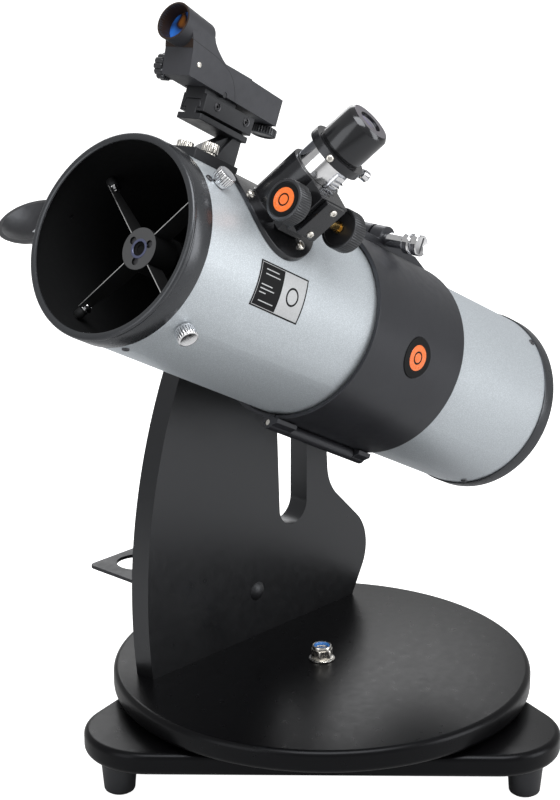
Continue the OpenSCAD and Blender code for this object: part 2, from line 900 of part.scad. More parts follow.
module pinion_cover() {
    color("#1e1e20") out_of_tube(focuser_angle, focuser_s) {
        difference() {
            translate([-cover_s, cover_t, cover_low]) cube([2 * cover_s, cover_thick, cover_top - cover_low]);
            translate([0, pinion_t, pinion_h]) along_x(pitch_r + tooth_up + 0.4, -rack_half - 0.5, rack_half + 0.5);
        }
    }
}

// One side of the rack's teeth along the drawtube
module rack_outline(from, to) {
    first = ceil((from - pinion_h) / PI);
    last = floor((to - pinion_h) / PI) - 1;
    polygon(concat(
        [[rack_seat, from], [rack_line - tooth_down, from]],
        [for (k = [first : last], p = [[-tooth_down, 0.72], [tooth_up, 1.22], [tooth_up, 1.92], [-tooth_down, 2.42]])
            [rack_line + p[0], pinion_h + k * PI + p[1]]],
        [[rack_line - tooth_down, to], [rack_seat, to]]
    ));
}

module drawtube() {
    color("gainsboro") out_of_tube(focuser_angle, focuser_s) difference() {
        translate([0, 0, drawtube_low]) cylinder(r = drawtube_r, h = collar_low - drawtube_low);
        translate([0, 0, drawtube_low - 1]) cylinder(r = eyepiece_bore_r, h = 100);
        translate([-rack_half, rack_seat, drawtube_low - 1]) cube([2 * rack_half, 10, 100]);
    }
}

module drawtube_rack() {
    color("silver") out_of_tube(focuser_angle, focuser_s) {
        translate([-rack_half, 0, 0]) rotate([90, 0, 90]) linear_extrude(2 * rack_half) rack_outline(62, 127);
    }
}

module drawtube_collar() {
    color("#161617") out_of_tube(focuser_angle, focuser_s) difference() {
        translate([0, 0, collar_low]) cylinder(r = collar_r, h = collar_top - collar_low);
        translate([0, 0, collar_low - 1]) cylinder(r = eyepiece_bore_r, h = 20);
        rotate(lock_angle) translate([0, 0, (collar_low + collar_top) / 2]) along_x(collar_screw_r + running, 10, 30);
    }
}

module pinion_tooth() {
    half_root = 0.8;
    half_tip = 0.36;
    polygon([
        [pitch_r - tooth_down - 0.3, -half_root], [pitch_r + tooth_up, -half_tip],
        [pitch_r + tooth_up, half_tip], [pitch_r - tooth_down - 0.3, half_root]
    ]);
}

module pinion_shaft() {
    color("goldenrod") out_of_tube(focuser_angle, focuser_s) translate([0, pinion_t, pinion_h]) {
        along_x(shaft_r, shaft_far, shaft_near);
        along_x(bush_ring_r, focus_knob_near - 1, focus_knob_near - fit);
        along_x(bush_ring_r, focus_knob_far + fit, focus_knob_far + 1);
        translate([-rack_half, 0, 0]) rotate([90, 0, 90]) linear_extrude(2 * rack_half) {
            circle(r = pitch_r - tooth_down);
            for (k = [0 : pinion_teeth - 1]) {
                rotate(180 + k * 360 / pinion_teeth) pinion_tooth();
            }
        }
    }
}

module focus_knobs() {
    color("#1a1a1b") out_of_tube(focuser_angle, focuser_s) translate([0, pinion_t, pinion_h]) difference() {
        union() {
            along_x(focus_knob_r, focus_knob_near, focus_knob_near + focus_knob_t);
            along_x(focus_knob_r, focus_knob_far - focus_knob_t, focus_knob_far);
        }
        along_x(shaft_r + fit, shaft_far - fit, shaft_near + fit);
    }
}

module eyepiece() {
    color("#131314") out_of_tube(focuser_angle, focuser_s) rotate_extrude() polygon([
        [13.4, 106], [15.85, 106], [15.85, collar_top + 0.2], [16.6, collar_top + 0.2],
        [16.6, 138], [17.6, 138], [17.6, 162], [15.2, 165], [8.6, 165], [8.6, 163.2],
        [0, 163.2], [0, 156], [13.4, 150]
    ]);
}

module eyepiece_lock() {
    color("gainsboro") out_of_tube(focuser_angle, focuser_s) {
        rotate(lock_angle) translate([0, 0, (collar_low + collar_top) / 2]) {
            along_x(collar_screw_r, 16.2, 25);
            along_x(3.9, 24, 30);
        }
    }
}

// ---- finder ----

module finder_frame() {
    out_of_tube(finder_angle, 0) children();
}

module rail_section(grow) {
    polygon([
        [-5 - grow, 95], [5 + grow, 95], [5 + grow, 106 - grow], [8.5 + grow, 106 - grow],
        [6.5 + grow, 112 + grow], [-6.5 - grow, 112 + grow], [-8.5 - grow, 106 - grow], [-5 - grow, 106 - grow]
    ]);
}

module finder_bracket() {
    color("#1a1a1b") {
        difference() {
            finder_frame() {
                translate([foot_rear, -foot_half, 60]) cube([foot_front - foot_rear, 2 * foot_half, foot_top - 60]);
                plate_xz(-8, 8) polygon([
                    [foot_rear, 70], [187, 70], [187, 80], [183, 88], [176, 98], [167, 98], [167, 80]
                ]);
                plate_xz(-5, 5) polygon([[180, 70], [206, 70], [206, 76], [196, 85.5], [178, 98], [172, 98]]);
            }
            tube_frame() translate([0, 0, 100]) cylinder(r = tube_r + 0.1, h = 200);
            out_of_tube(focuser_angle, focuser_s) translate([0, 0, 60]) cylinder(r = flange_r + gap, h = 40);
        }
        finder_frame() {
            translate([rail_rear, -11, 97.5]) cube([rail_front - rail_rear, 22, 4.5]);
            translate([rail_rear, 0, 0]) rotate([90, 0, 90]) linear_extrude(rail_front - rail_rear) {
                intersection() {
                    rail_section(0);
                    translate([-20, 98]) square([40, 20]);
                }
            }
        }
    }
}

module finder_nuts() {
    color("gainsboro") finder_frame() for (w = [-nut_w, nut_w]) {
        translate([nut_s, w, foot_top + 0.1]) {
            cylinder(r = 4.5, h = 2.5);
            translate([0, 0, 2]) cylinder(r = 6, h = 7);
        }
    }
}

module finder_shoe() {
    color("#1d1d1e") finder_frame() difference() {
        union() {
            translate([164, -10, shoe_low]) cube([53, 22, shoe_top - shoe_low]);
            translate([183, -9, shoe_top - 1]) cube([34, 18, 8.5]);
            translate([trunnion_s, 0, trunnion_h]) along_y(trunnion_r, -12.8, 12.8);
        }
        translate([160, 0, 0]) rotate([90, 0, 90]) linear_extrude(60) rail_section(0.2);
        for (s = shoe_screw_s) {
            translate([s, 0, shoe_screw_h]) along_y(2 + fit, 5, 13);
        }
    }
}

module shoe_screws() {
    color("dimgray") finder_frame() for (s = shoe_screw_s) {
        translate([s, 0, shoe_screw_h]) along_y(2, 8, 11.9);
    }
}

module finder_body() {
    color("#1b1b1c") finder_frame() difference() {
        union() {
            plate_xz(-finder_half, finder_half) polygon([
                [142, 118.4], [240, 120.6], [243.5, 140.5], [205, 140.5], [179, 140.3], [178, 139.6], [142, 138]
            ]);
            plate_xz(-finder_half, finder_half) polygon([
                [205, 139], [243.5, 139], [245.5, 145], [250, 153],
                [225, 153], [223, 150], [219, 146.5], [212, 142.2]
            ]);
            translate(hood_base) rotate([0, hood_tilt, 0]) cylinder(r1 = 12.8, r2 = 13.8, h = hood_length);
            translate([elevation_s, 0, 118.6]) cylinder(r = 5, h = 6);
        }
        translate(sight_base) rotate([0, hood_tilt, 0])
            cylinder(r1 = sight_rear_r, r2 = sight_front_r, h = sight_length);
        translate([181, -9.6, 110]) cube([38, 19.2, 15]);
        translate([trunnion_s, 0, trunnion_h]) along_y(trunnion_r + running, -14, 14);
        translate([windage_s, 0, windage_h]) along_y(2 + running, -14, -4);
        translate([elevation_s, 0, 118]) cylinder(r = 2 + running, h = 9);
    }
}

module finder_lens() {
    color("#b46a3c") finder_frame() translate(sight_base) rotate([0, hood_tilt, 0]) translate([0, 0, lens_along])
        cylinder(r = lens_r, h = 1.6);
}

module windage_knob() {
    color("#161617") finder_frame() translate([windage_s, 0, windage_h]) {
        along_y(2, -finder_half - 2, -5);
        along_y(small_knob_r, -finder_half - 8.5, -finder_half - 0.5);
    }
}

module elevation_knob() {
    color("#161617") finder_frame() translate([elevation_s, 0, 0]) {
        translate([0, 0, 115]) cylinder(r = 2, h = 11);
        translate([0, 0, 112]) cylinder(r = small_knob_r, h = 6);
    }
}

// ---- phone dock ----

module dock_bracket() {
    color("#1c1c1d") difference() {
        out_of_tube(0, 0) {
            translate([150, -84, -18]) cube([45, 16, 31]);
            translate([dock_rear, dock_far, dock_low])
                cube([dock_front - dock_rear, dock_near - dock_far, dock_top - dock_low]);
            translate([dock_front - 3, dock_wall_far, dock_wall_low])
                cube([3, dock_near - dock_wall_far, dock_wall_top - dock_wall_low]);
        }
        tube_frame() translate([0, 0, 100]) cylinder(r = tube_r + 0.1, h = 200);
    }
}

// Frame of the scoop's rim: local X points out of its mouth, local Y towards the near side
module scoop_frame() {
    out_of_tube(0, 0) translate(scoop_centre) rotate([0, -scoop_tilt, 0]) children();
}

// Rounded body that the scoop is a shallow slice of, turned about local Y
module scoop(shrink) {
    translate([scoop_r - scoop_depth, 0, 0]) rotate([90, 0, 0]) rotate_extrude($fn = 64) polygon([
        for (k = [0 : 20]) [(scoop_r - shrink) * sin(k * 9), (scoop_half - shrink) * cos(k * 9)]
    ]);
}

module dock_shroud() {
    color("#1a1a1b") difference() {
        union() {
            scoop_frame() difference() {
                scoop(0);
                translate([0, -60, -60]) cube([80, 120, 120]);
            }
            out_of_tube(0, 0) translate([dock_front + fit, -111, 4]) cube([scoop_stem, 22, 14]);
        }
        scoop_frame() difference() {
            scoop(scoop_wall);
            translate([-scoop_depth, 6, -3]) cube([scoop_depth + dock_mirror_back - 0.1, 6, 6]);
        }
        tube_frame() translate([0, 0, 190]) cylinder(r = lip_r + 1.4, h = 80);
    }
}

module dock_mirror() {
    color("lightsteelblue") scoop_frame() translate([dock_mirror_back, 2, -7]) cube([1.4, 14, 14]);
}

module phone_clamp() {
    color("#202021") out_of_tube(0, 0) {
        translate([dock_rear - 5, -118, dock_low - 4]) cube([4.7, 24, 22]);
        translate([dock_rear - 5, -118, dock_low - 4]) cube([40, 24, 3.7]);
        translate([dock_rear - 5, -118, dock_top + 9]) cube([9, 24, 4]);
    }
}

ground_board();
feet();
azimuth_pads();
pivot_bolt();
pivot_nut();
nut_insert();
turntable_disc();
pivot_bush();
side_arm();
arm_screws();
tray_bolt();
tray_flange();
accessory_tray();
ring_inner_half();
felt_inner();
altitude_boss();
altitude_axle();
hinge_pin();
altitude_knob();
ring_outer_half();
felt_outer();
badge();
clamp_sleeve();
clamp_knob();
optical_tube();
front_ring();
rear_ring();
ring_screws();
spider_vanes();
spider_hub();
secondary_holder();
secondary_mirror();
collimation_screws();
vane_knobs();
mirror_cell();
primary_mirror();
mirror_clips();
cell_knobs();
focuser_base();
focuser_screws();
pinion_cover();
drawtube();
drawtube_rack();
drawtube_collar();
pinion_shaft();
focus_knobs();
eyepiece();
eyepiece_lock();
finder_bracket();
finder_nuts();
finder_shoe();
shoe_screws();
finder_body();
finder_lens();
windage_knob();
elevation_knob();
dock_bracket();
dock_shroud();
dock_mirror();
phone_clamp();
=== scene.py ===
"""Looks of a tabletop Dobsonian telescope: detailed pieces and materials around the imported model.

Every piece is drawn in millimetres in a placement of its own: upright at a point of the base, or in a
frame that follows the tube, whose local X or Z runs along the tube to its open front.
"""
import json
from math import asin, cos, pi, radians, sin

import bmesh
import bpy
from mathutils import Matrix, Vector

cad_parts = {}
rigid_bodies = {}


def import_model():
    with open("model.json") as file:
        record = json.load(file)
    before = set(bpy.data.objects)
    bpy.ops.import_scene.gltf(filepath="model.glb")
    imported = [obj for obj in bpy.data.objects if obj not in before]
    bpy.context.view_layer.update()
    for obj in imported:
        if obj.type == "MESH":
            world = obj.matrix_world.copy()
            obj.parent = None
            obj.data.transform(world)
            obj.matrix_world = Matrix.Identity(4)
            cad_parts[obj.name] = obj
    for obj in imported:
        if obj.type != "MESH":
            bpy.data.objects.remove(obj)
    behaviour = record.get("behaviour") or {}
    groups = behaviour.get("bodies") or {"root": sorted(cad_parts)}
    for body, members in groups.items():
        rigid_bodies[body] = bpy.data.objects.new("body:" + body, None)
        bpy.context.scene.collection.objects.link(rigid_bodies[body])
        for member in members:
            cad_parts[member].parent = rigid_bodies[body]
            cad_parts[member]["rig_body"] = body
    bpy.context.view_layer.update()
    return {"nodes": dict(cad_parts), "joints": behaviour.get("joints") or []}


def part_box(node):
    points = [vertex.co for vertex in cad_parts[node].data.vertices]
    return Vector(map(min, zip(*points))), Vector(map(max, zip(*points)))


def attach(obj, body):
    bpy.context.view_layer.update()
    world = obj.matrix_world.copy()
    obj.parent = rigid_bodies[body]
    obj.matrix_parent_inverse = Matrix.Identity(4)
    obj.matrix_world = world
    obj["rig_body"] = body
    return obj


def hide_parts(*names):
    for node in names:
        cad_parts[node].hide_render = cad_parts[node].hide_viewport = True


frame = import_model()

# ---- places taken from the frame; lengths below are millimetres unless a name says otherwise ----

MM = 0.001
JOINTS = {j["name"]: j for j in frame["joints"]}
TUBE_POINT = Vector(JOINTS["tube_turn"]["pos_m"])
AXIS = Vector(JOINTS["tube_turn"]["axis"])
NEAR = Vector((0, -1, 0))
UP = AXIS.cross(NEAR)
TUBE_R = 71.5
FRONT_END = 259.3
REAR_END = -201.5
FOCUSER_ANGLE = 38.5
FOCUSER_S = 160.5
FINDER_ANGLE = -4
SPIDER_S = 222
HUB_FACE_S = 229
CELL_KNOB_R = 46
CELL_KNOB_S = -199.4
IN_PLACE = Matrix.Identity(4)


def matrix_of(x, y, z, origin):
    """Placement from three unit directions and an origin in metres; local lengths are millimetres."""
    m = Matrix.Identity(4)
    for column, axis in enumerate((x, y, z)):
        for row in range(3):
            m[row][column] = axis[row] * MM
    for row in range(3):
        m[row][3] = origin[row]
    return m


def out_of_tube(angle, s=0.0):
    """Local X along the tube to the front, local Z out of it, at an angle from its top to the near side."""
    t = radians(angle)
    out = UP * cos(t) + NEAR * sin(t)
    side = NEAR * cos(t) - UP * sin(t)
    return matrix_of(AXIS, side, out, TUBE_POINT + AXIS * (s * MM))


def along_tube(s=0.0):
    """Local Z along the tube to the front, local X up."""
    return matrix_of(UP, -NEAR, AXIS, TUBE_POINT + AXIS * (s * MM))


def at(x, y, z):
    """Upright placement at a point given in millimetres."""
    return Matrix.Translation((x * MM, y * MM, z * MM)) @ Matrix.Scale(MM, 4)


def local(x=0.0, y=0.0, z=0.0, turn_x=0.0, turn_y=0.0, turn_z=0.0):
    """Shift and turn inside a placement, in millimetres and degrees."""
    turns = Matrix.Rotation(radians(turn_z), 4, "Z") @ Matrix.Rotation(radians(turn_y), 4, "Y")
    return Matrix.Translation((x, y, z)) @ turns @ Matrix.Rotation(radians(turn_x), 4, "X")


# ---- camera, lights and floor ----

CAMERA_AZIMUTH = -47.43
CAMERA_ELEVATION = 17.55
CAMERA_DISTANCE = 1.70995
CAMERA_LENS = 100.35
CAMERA_SENSOR = 36
LOOK_HEIGHT = 0.28594
LOOK_LEFT = 0.03332


def make_camera():
    a = radians(CAMERA_AZIMUTH)
    e = radians(CAMERA_ELEVATION)
    back = Vector((sin(a) * cos(e), -cos(a) * cos(e), sin(e)))
    right = Vector((cos(a), sin(a), 0))
    data = bpy.data.cameras.new("camera")
    data.lens = CAMERA_LENS
    data.sensor_width = CAMERA_SENSOR
    camera = bpy.data.objects.new("camera", data)
    camera.location = Vector((0, 0, LOOK_HEIGHT)) - right * LOOK_LEFT + back * CAMERA_DISTANCE
    camera.rotation_mode = "QUATERNION"
    camera.rotation_quaternion = (-back).to_track_quat("-Z", "Y")
    bpy.context.scene.collection.objects.link(camera)
    bpy.context.scene.camera = camera


LIGHT_TARGET = Vector((0, 0, 0.3))
WORLD_STRENGTH = 0.5
# name: place and size in metres, power in watts
LIGHTS = {
    "key_top": ((-0.5, -0.7, 2.0), (1.6, 1.2), 40),
    "left_box": ((-1.9, 0.1, 0.9), (1.0, 1.6), 9),
    "right_box": ((0.9, -1.9, 0.7), (1.0, 1.6), 23),
    "back_box": ((1.2, 1.4, 1.3), (1.4, 1.0), 12),
}


def area_light(name, place, size, power):
    data = bpy.data.lights.new(name, "AREA")
    data.shape = "RECTANGLE"
    data.size, data.size_y = size
    data.energy = power
    lamp = bpy.data.objects.new(name, data)
    lamp.location = place
    lamp.rotation_mode = "QUATERNION"
    lamp.rotation_quaternion = (LIGHT_TARGET - Vector(place)).to_track_quat("-Z", "Y")
    bpy.context.scene.collection.objects.link(lamp)


def make_studio():
    world = bpy.data.worlds.new("studio")
    world.use_nodes = True
    background = world.node_tree.nodes["Background"]
    background.inputs["Color"].default_value = (1, 1, 1, 1)
    background.inputs["Strength"].default_value = WORLD_STRENGTH
    bpy.context.scene.world = world
    bpy.context.scene.view_settings.view_transform = "Standard"
    for name, (place, size, power) in LIGHTS.items():
        area_light(name, place, size, power)


# ---- materials ----

COOL_SHEEN = (0.91, 0.94, 1.0, 1)


class Shader:
    """A Principled material with shorthand for its procedural nodes, all in object coordinates."""

    def __init__(self, name, roughness, metallic=0.0, coat=0.0, coat_roughness=0.1, specular=0.5):
        self.material = bpy.data.materials.new(name)
        self.material.use_nodes = True
        self.nodes = self.material.node_tree.nodes
        self.links = self.material.node_tree.links
        self.main = self.nodes["Principled BSDF"]
        self.main.inputs["Roughness"].default_value = roughness
        self.main.inputs["Metallic"].default_value = metallic
        self.main.inputs["Coat Weight"].default_value = coat
        self.main.inputs["Coat Roughness"].default_value = coat_roughness
        self.main.inputs["Specular IOR Level"].default_value = specular
        self.main.inputs["Specular Tint"].default_value = COOL_SHEEN
        self.place = self.nodes.new("ShaderNodeTexCoord").outputs["Object"]

    def noise(self, scale, detail):
        node = self.nodes.new("ShaderNodeTexNoise")
        node.inputs["Scale"].default_value = scale
        node.inputs["Detail"].default_value = detail
        self.links.new(self.place, node.inputs["Vector"])
        return node.outputs["Fac"]

    def cells(self, scale):
        node = self.nodes.new("ShaderNodeTexVoronoi")
        node.inputs["Scale"].default_value = scale
        self.links.new(self.place, node.inputs["Vector"])
        return node.outputs["Distance"]

    def ramp(self, value, low, high, dark, light):
        node = self.nodes.new("ShaderNodeValToRGB")
        node.color_ramp.elements[0].position = low
        node.color_ramp.elements[0].color = (*dark, 1)
        node.color_ramp.elements[1].position = high
        node.color_ramp.elements[1].color = (*light, 1)
        self.links.new(value, node.inputs["Fac"])
        return node.outputs["Color"]

    def spread(self, value, low, high):
        node = self.nodes.new("ShaderNodeMapRange")
        node.inputs["From Min"].default_value = 0.25
        node.inputs["From Max"].default_value = 0.75
        node.inputs["To Min"].default_value = low
        node.inputs["To Max"].default_value = high
        self.links.new(value, node.inputs["Value"])
        return node.outputs["Result"]

    def mix(self, first, second, share):
        node = self.nodes.new("ShaderNodeMix")
        node.data_type = "RGBA"
        node.blend_type = "MULTIPLY"
        node.inputs["Factor"].default_value = share
        self.links.new(first, node.inputs["A"])
        self.links.new(second, node.inputs["B"])
        return node.outputs["Result"]

    def colour(self, output):
        self.links.new(output, self.main.inputs["Base Color"])

    def roughness(self, output):
        self.links.new(output, self.main.inputs["Roughness"])

    def bump(self, output, strength, depth):
        node = self.nodes.new("ShaderNodeBump")
        node.inputs["Strength"].default_value = strength
        node.inputs["Distance"].default_value = depth * MM
        self.links.new(output, node.inputs["Height"])
        self.links.new(node.outputs["Normal"], self.main.inputs["Normal"])


def tinted(colour, factor):
    return tuple(min(1.0, c * factor) for c in colour)


def coated(name, colour, roughness, grain, depth, variation=0.12, metallic=0.0, coat=0.0, specular=0.5):
    """A moulded, painted or laminated surface: slow mottling, fine grain and uneven gloss."""
    s = Shader(name, roughness, metallic, coat, specular=specular)
    dark, light = tinted(colour, 1 - variation), tinted(colour, 1 + variation)
    slow = s.ramp(s.noise(18, 3), 0.3, 0.7, dark, light)
    fine = s.ramp(s.noise(grain, 2), 0.3, 0.75, (0.82, 0.82, 0.82), (1, 1, 1))
    s.colour(s.mix(slow, fine, 0.8))
    s.roughness(s.spread(s.noise(140, 4), roughness * 0.88, roughness * 1.12))
    s.bump(s.noise(grain, 3), 0.35, depth)
    return s.material


def plated(name, colour, roughness):
    """Bright plated or turned metal with faint wear."""
    s = Shader(name, roughness, 1.0)
    s.colour(s.ramp(s.noise(260, 3), 0.25, 0.8, tinted(colour, 0.86), colour))
    s.roughness(s.spread(s.noise(420, 4), roughness * 0.7, roughness * 1.5))
    s.bump(s.noise(900, 2), 0.12, 0.03)
    return s.material


def silver_paint():
    s = Shader("silver_paint", 0.42, 0.55, 0.25, 0.25)
    flakes = s.ramp(s.cells(1250), 0.1, 0.55, (0.635, 0.68, 0.712), (0.455, 0.492, 0.522))
    cloud = s.ramp(s.noise(9, 2), 0.3, 0.7, (0.95, 0.95, 0.95), (1, 1, 1))
    s.colour(s.mix(flakes, cloud, 1.0))
    s.roughness(s.spread(s.noise(1500, 2), 0.36, 0.5))
    s.bump(s.noise(2200, 2), 0.15, 0.04)
    return s.material


def mirror_glass():
    s = Shader("mirror_coating", 0.03, 1.0)
    s.colour(s.ramp(s.noise(30, 2), 0.3, 0.7, (0.86, 0.88, 0.92), (0.92, 0.94, 0.97)))
    s.bump(s.noise(60, 1), 0.01, 0.01)
    return s.material


def coated_lens(name, low, high):
    """Glass seen by its interference coating: the hue changes across the lens."""
    s = Shader(name, 0.04, 0.35, 1.0, 0.02)
    hue = s.ramp(s.noise(55, 1), 0.38, 0.62, low, high)
    hue.node.color_ramp.elements.new(0.5).color = (0.012, 0.008, 0.012, 1)
    s.colour(hue)
    s.bump(s.noise(90, 1), 0.02, 0.01)
    return s.material


BLACK = (0.0085, 0.0085, 0.0095)
MATERIALS = {
    "black_board": coated("black_board", (0.0018, 0.0017, 0.002), 0.3, 1700, 0.05, specular=0.145),
    "arm_board": coated("arm_board", (0.0028, 0.0028, 0.0032), 0.31, 1500, 0.06, specular=0.62),
    "black_plastic": coated("black_plastic", BLACK, 0.45, 1900, 0.09),
    "finder_plastic": coated("finder_plastic", (0.022, 0.022, 0.0255), 0.55, 1900, 0.12, specular=0.6),
    "ptfe": coated("ptfe", (0.8, 0.8, 0.77), 0.45, 900, 0.02),
    "zinc_steel": plated("zinc_steel", (0.66, 0.64, 0.6), 0.26),
    "blue_nylon": coated("blue_nylon", (0.05, 0.22, 0.62), 0.3, 800, 0.02),
    "ring_paint": coated("ring_paint", (0.021, 0.0215, 0.025), 0.38, 2300, 0.06, metallic=0.2),
    "felt": coated("felt", (0.03, 0.03, 0.03), 0.95, 2600, 0.3),
    "badge_enamel": coated("badge_enamel", (0.83, 0.16, 0.018), 0.28, 700, 0.01, 0.05, coat=0.6),
    "chrome": plated("chrome", (0.78, 0.78, 0.79), 0.09),
    "satin_nickel": plated("satin_nickel", (0.8, 0.8, 0.81), 0.2),
    "nickel": plated("nickel", (0.85, 0.82, 0.76), 0.24),
    "silver_paint": silver_paint(),
    "trim_paint": coated("trim_paint", (0.027, 0.0285, 0.031), 0.26, 2300, 0.04, metallic=0.25,
                         specular=0.7),
    "spider_black": coated("spider_black", (0.01, 0.01, 0.01), 0.6, 1800, 0.05),
    "tube_inside": coated("tube_inside", (0.0035, 0.0035, 0.0035), 0.85, 1800, 0.05, specular=0.2),
    "hub_grey": coated("hub_grey", (0.055, 0.055, 0.056), 0.55, 2400, 0.05),
    "mirror_coating": mirror_glass(),
    "focuser_black": coated("focuser_black", (0.008, 0.008, 0.009), 0.22, 2600, 0.03, coat=0.1),
    "knob_black": coated("knob_black", (0.012, 0.012, 0.013), 0.32, 2100, 0.03, specular=0.75),
    "top_grey": coated("top_grey", (0.085, 0.08, 0.09), 0.4, 2400, 0.03),
    "brass_shaft": plated("brass_shaft", (0.7, 0.47, 0.17), 0.22),
    # dark steel of the screw heads; also painted shade on knob groove floors and in the clamp knob's slot
    "dark_steel": plated("dark_steel", (0.09, 0.09, 0.095), 0.35),
    "finder_glass": coated_lens("finder_glass", (0.03, 0.22, 0.85), (0.75, 0.26, 0.03)),
    "eye_glass": coated_lens("eye_glass", (0.05, 0.045, 0.12), (0.12, 0.1, 0.2)),
    "eyepiece_black": coated("eyepiece_black", (0.006, 0.006, 0.0065), 0.18, 2600, 0.02, coat=0.2),
    "vane_edge": plated("vane_edge", (0.75, 0.75, 0.75), 0.35),
    # inside of the finder's hood, darker and browner than its plastic: painted shade
    "hood_painted_shade": coated("hood_painted_shade", (0.02, 0.01, 0.005), 0.6, 1600, 0.03, specular=0.3),
    "blue_grey": coated("blue_grey", (0.09, 0.1, 0.17), 0.3, 1600, 0.02, metallic=0.4),
    # black of the finder's seam line; also painted shade on the focus and elevation knobs' groove floors
    "seam_black_and_groove_shade": coated("seam_black_and_groove_shade", (0.004, 0.004, 0.0045), 0.6, 1600, 0.02),
    "label_black": coated("label_black", (0.006, 0.006, 0.006), 0.45, 900, 0.01, specular=0.12),
    "label_silver": coated("label_silver", (0.5, 0.51, 0.52), 0.4, 900, 0.01, 0.04, metallic=0.4),
}


# ---- mesh helpers: every shape is drawn in millimetres in its own placement ----


def piece(name, bm, placement, material, body, replaces=(), sharp=35, groove=None):
    """Turns a drawn shape into a piece of the object. Edges over the sharp angle in degrees stay crisp."""
    bmesh.ops.recalc_face_normals(bm, faces=bm.faces)
    bm.transform(placement)
    mesh = bpy.data.meshes.new(name)
    bm.to_mesh(mesh)
    bm.free()
    mesh.materials.append(MATERIALS[material])
    # groove is a darker second material for the faces a shape marks: painted shade on groove floors
    if groove:
        mesh.materials.append(MATERIALS[groove])
    mesh.polygons.foreach_set("use_smooth", [True] * len(mesh.polygons))
    mesh.set_sharp_from_angle(angle=radians(sharp))
    obj = bpy.data.objects.new(name, mesh)
    bpy.context.scene.collection.objects.link(obj)
    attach(obj, body)
    if replaces:
        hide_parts(*replaces)


def flat_faces_first(obj):
    """Keeps large flat faces flat beside their rounded edges."""
    even = obj.modifiers.new("even_normals", "WEIGHTED_NORMAL")
    even.mode = "FACE_AREA"
    even.weight = 100
    even.keep_sharp = True


def merged(*parts):
    """One shape from several, each given as a shape or as (shape, placement)."""
    whole = bmesh.new()
    for part in parts:
        bm, placement = part if isinstance(part, tuple) else (part, None)
        if placement is not None:
            bm.transform(placement)
        mesh = bpy.data.meshes.new("part")
        bm.to_mesh(mesh)
        whole.from_mesh(mesh)
        bpy.data.meshes.remove(mesh)
        bm.free()
    return whole


def lathe(profile, steps=96, closed=False, wave=None):
    """Turns (radius, height) points about local Z. wave(ring, step) moves a point of a ring outwards."""
    bm = bmesh.new()
    rings = []
    for k, (r, z) in enumerate(profile):
        if r < 1e-6:
            rings.append([bm.verts.new((0, 0, z))])
            continue
        ring = []
        for i in range(steps):
            radius = r + (wave(k, i) if wave else 0)
            t = 2 * pi * i / steps
            ring.append(bm.verts.new((radius * cos(t), radius * sin(t), z)))
        rings.append(ring)
    pairs = list(zip(rings, rings[1:]))
    if closed:
        pairs.append((rings[-1], rings[0]))
    for a, b in pairs:
        for i in range(steps):
            j = (i + 1) % steps
            if len(a) == 1 and len(b) > 1:
                bm.faces.new((a[0], b[i], b[j]))
            elif len(b) == 1 and len(a) > 1:
                bm.faces.new((a[i], b[0], a[j]))
            elif len(a) > 1:
                bm.faces.new((a[i], b[i], b[j], a[j]))
    return bm


def thickened(bm, depth):
    """Extrudes every face of a flat shape by a depth along local Z."""
    made = bmesh.ops.extrude_face_region(bm, geom=list(bm.faces))
    moved = [g for g in made["geom"] if isinstance(g, bmesh.types.BMVert)]
    bmesh.ops.translate(bm, verts=moved, vec=(0, 0, depth))
    return bm


def prism(outline, depth):
    """Extrudes an outline in local X and Y by depth along Z."""
    bm = bmesh.new()
    bm.faces.new([bm.verts.new((x, y, 0)) for x, y in outline])
    return thickened(bm, depth)


def block(low, high):
    """A box between two corners."""
    bm = bmesh.new()
    bmesh.ops.create_cube(bm, size=1)
    size = [b - a for a, b in zip(low, high)]
    middle = [(a + b) / 2 for a, b in zip(low, high)]
    bm.transform(Matrix.Translation(middle) @ Matrix.Diagonal((*size, 1)))
    return bm


def polygon(r, corners):
    return [(r * cos(2 * pi * i / corners), r * sin(2 * pi * i / corners)) for i in range(corners)]


def arc(x, y, r, a, b, steps):
    """Points on an arc from angle a to angle b in degrees."""
    turn = [radians(a + (b - a) * i / steps) for i in range(steps + 1)]
    return [(x + r * cos(t), y + r * sin(t)) for t in turn]


def cross_outline(size, width):
    """A plus sign, anticlockwise."""
    s, w = size, width / 2
    quarter = [(s, -w), (s, w), (w, w)]
    turns = ((1, 0), (0, 1), (-1, 0), (0, -1))
    return [(c * x - d * y, d * x + c * y) for c, d in turns for x, y in quarter]


HEAD_STEPS = 40


def socket_head(profile, hole, depth):
    """A turned screw head, open at its last profile ring, closed by a flat with a driving recess in it."""
    bm = lathe(profile, HEAD_STEPS)
    bm.verts.ensure_lookup_table()
    z = profile[-1][1]
    rim = bm.verts[-HEAD_STEPS:]
    edges = [bm.edges.get((a, b)) for a, b in zip(rim, rim[1:] + rim[:1])]
    top = [bm.verts.new((x, y, z)) for x, y in hole]
    floor = [bm.verts.new((x * 0.8, y * 0.8, z - depth)) for x, y in hole]
    for k in range(len(hole)):
        j = (k + 1) % len(hole)
        edges.append(bm.edges.new((top[k], top[j])))
        bm.faces.new((top[k], top[j], floor[j], floor[k]))
    bm.faces.new(floor)
    bmesh.ops.triangle_fill(bm, use_beauty=True, edges=edges)
    return bm


def pan_screw(r, h):
    """A domed cross-head screw head standing on local Z = 0."""
    dome = [(0, -0.5), (r, -0.5), (r, h * 0.35), (r * 0.93, h * 0.7), (r * 0.78, h * 0.93), (r * 0.62, h)]
    return socket_head(dome, cross_outline(r * 0.46, r * 0.2), h * 0.6)


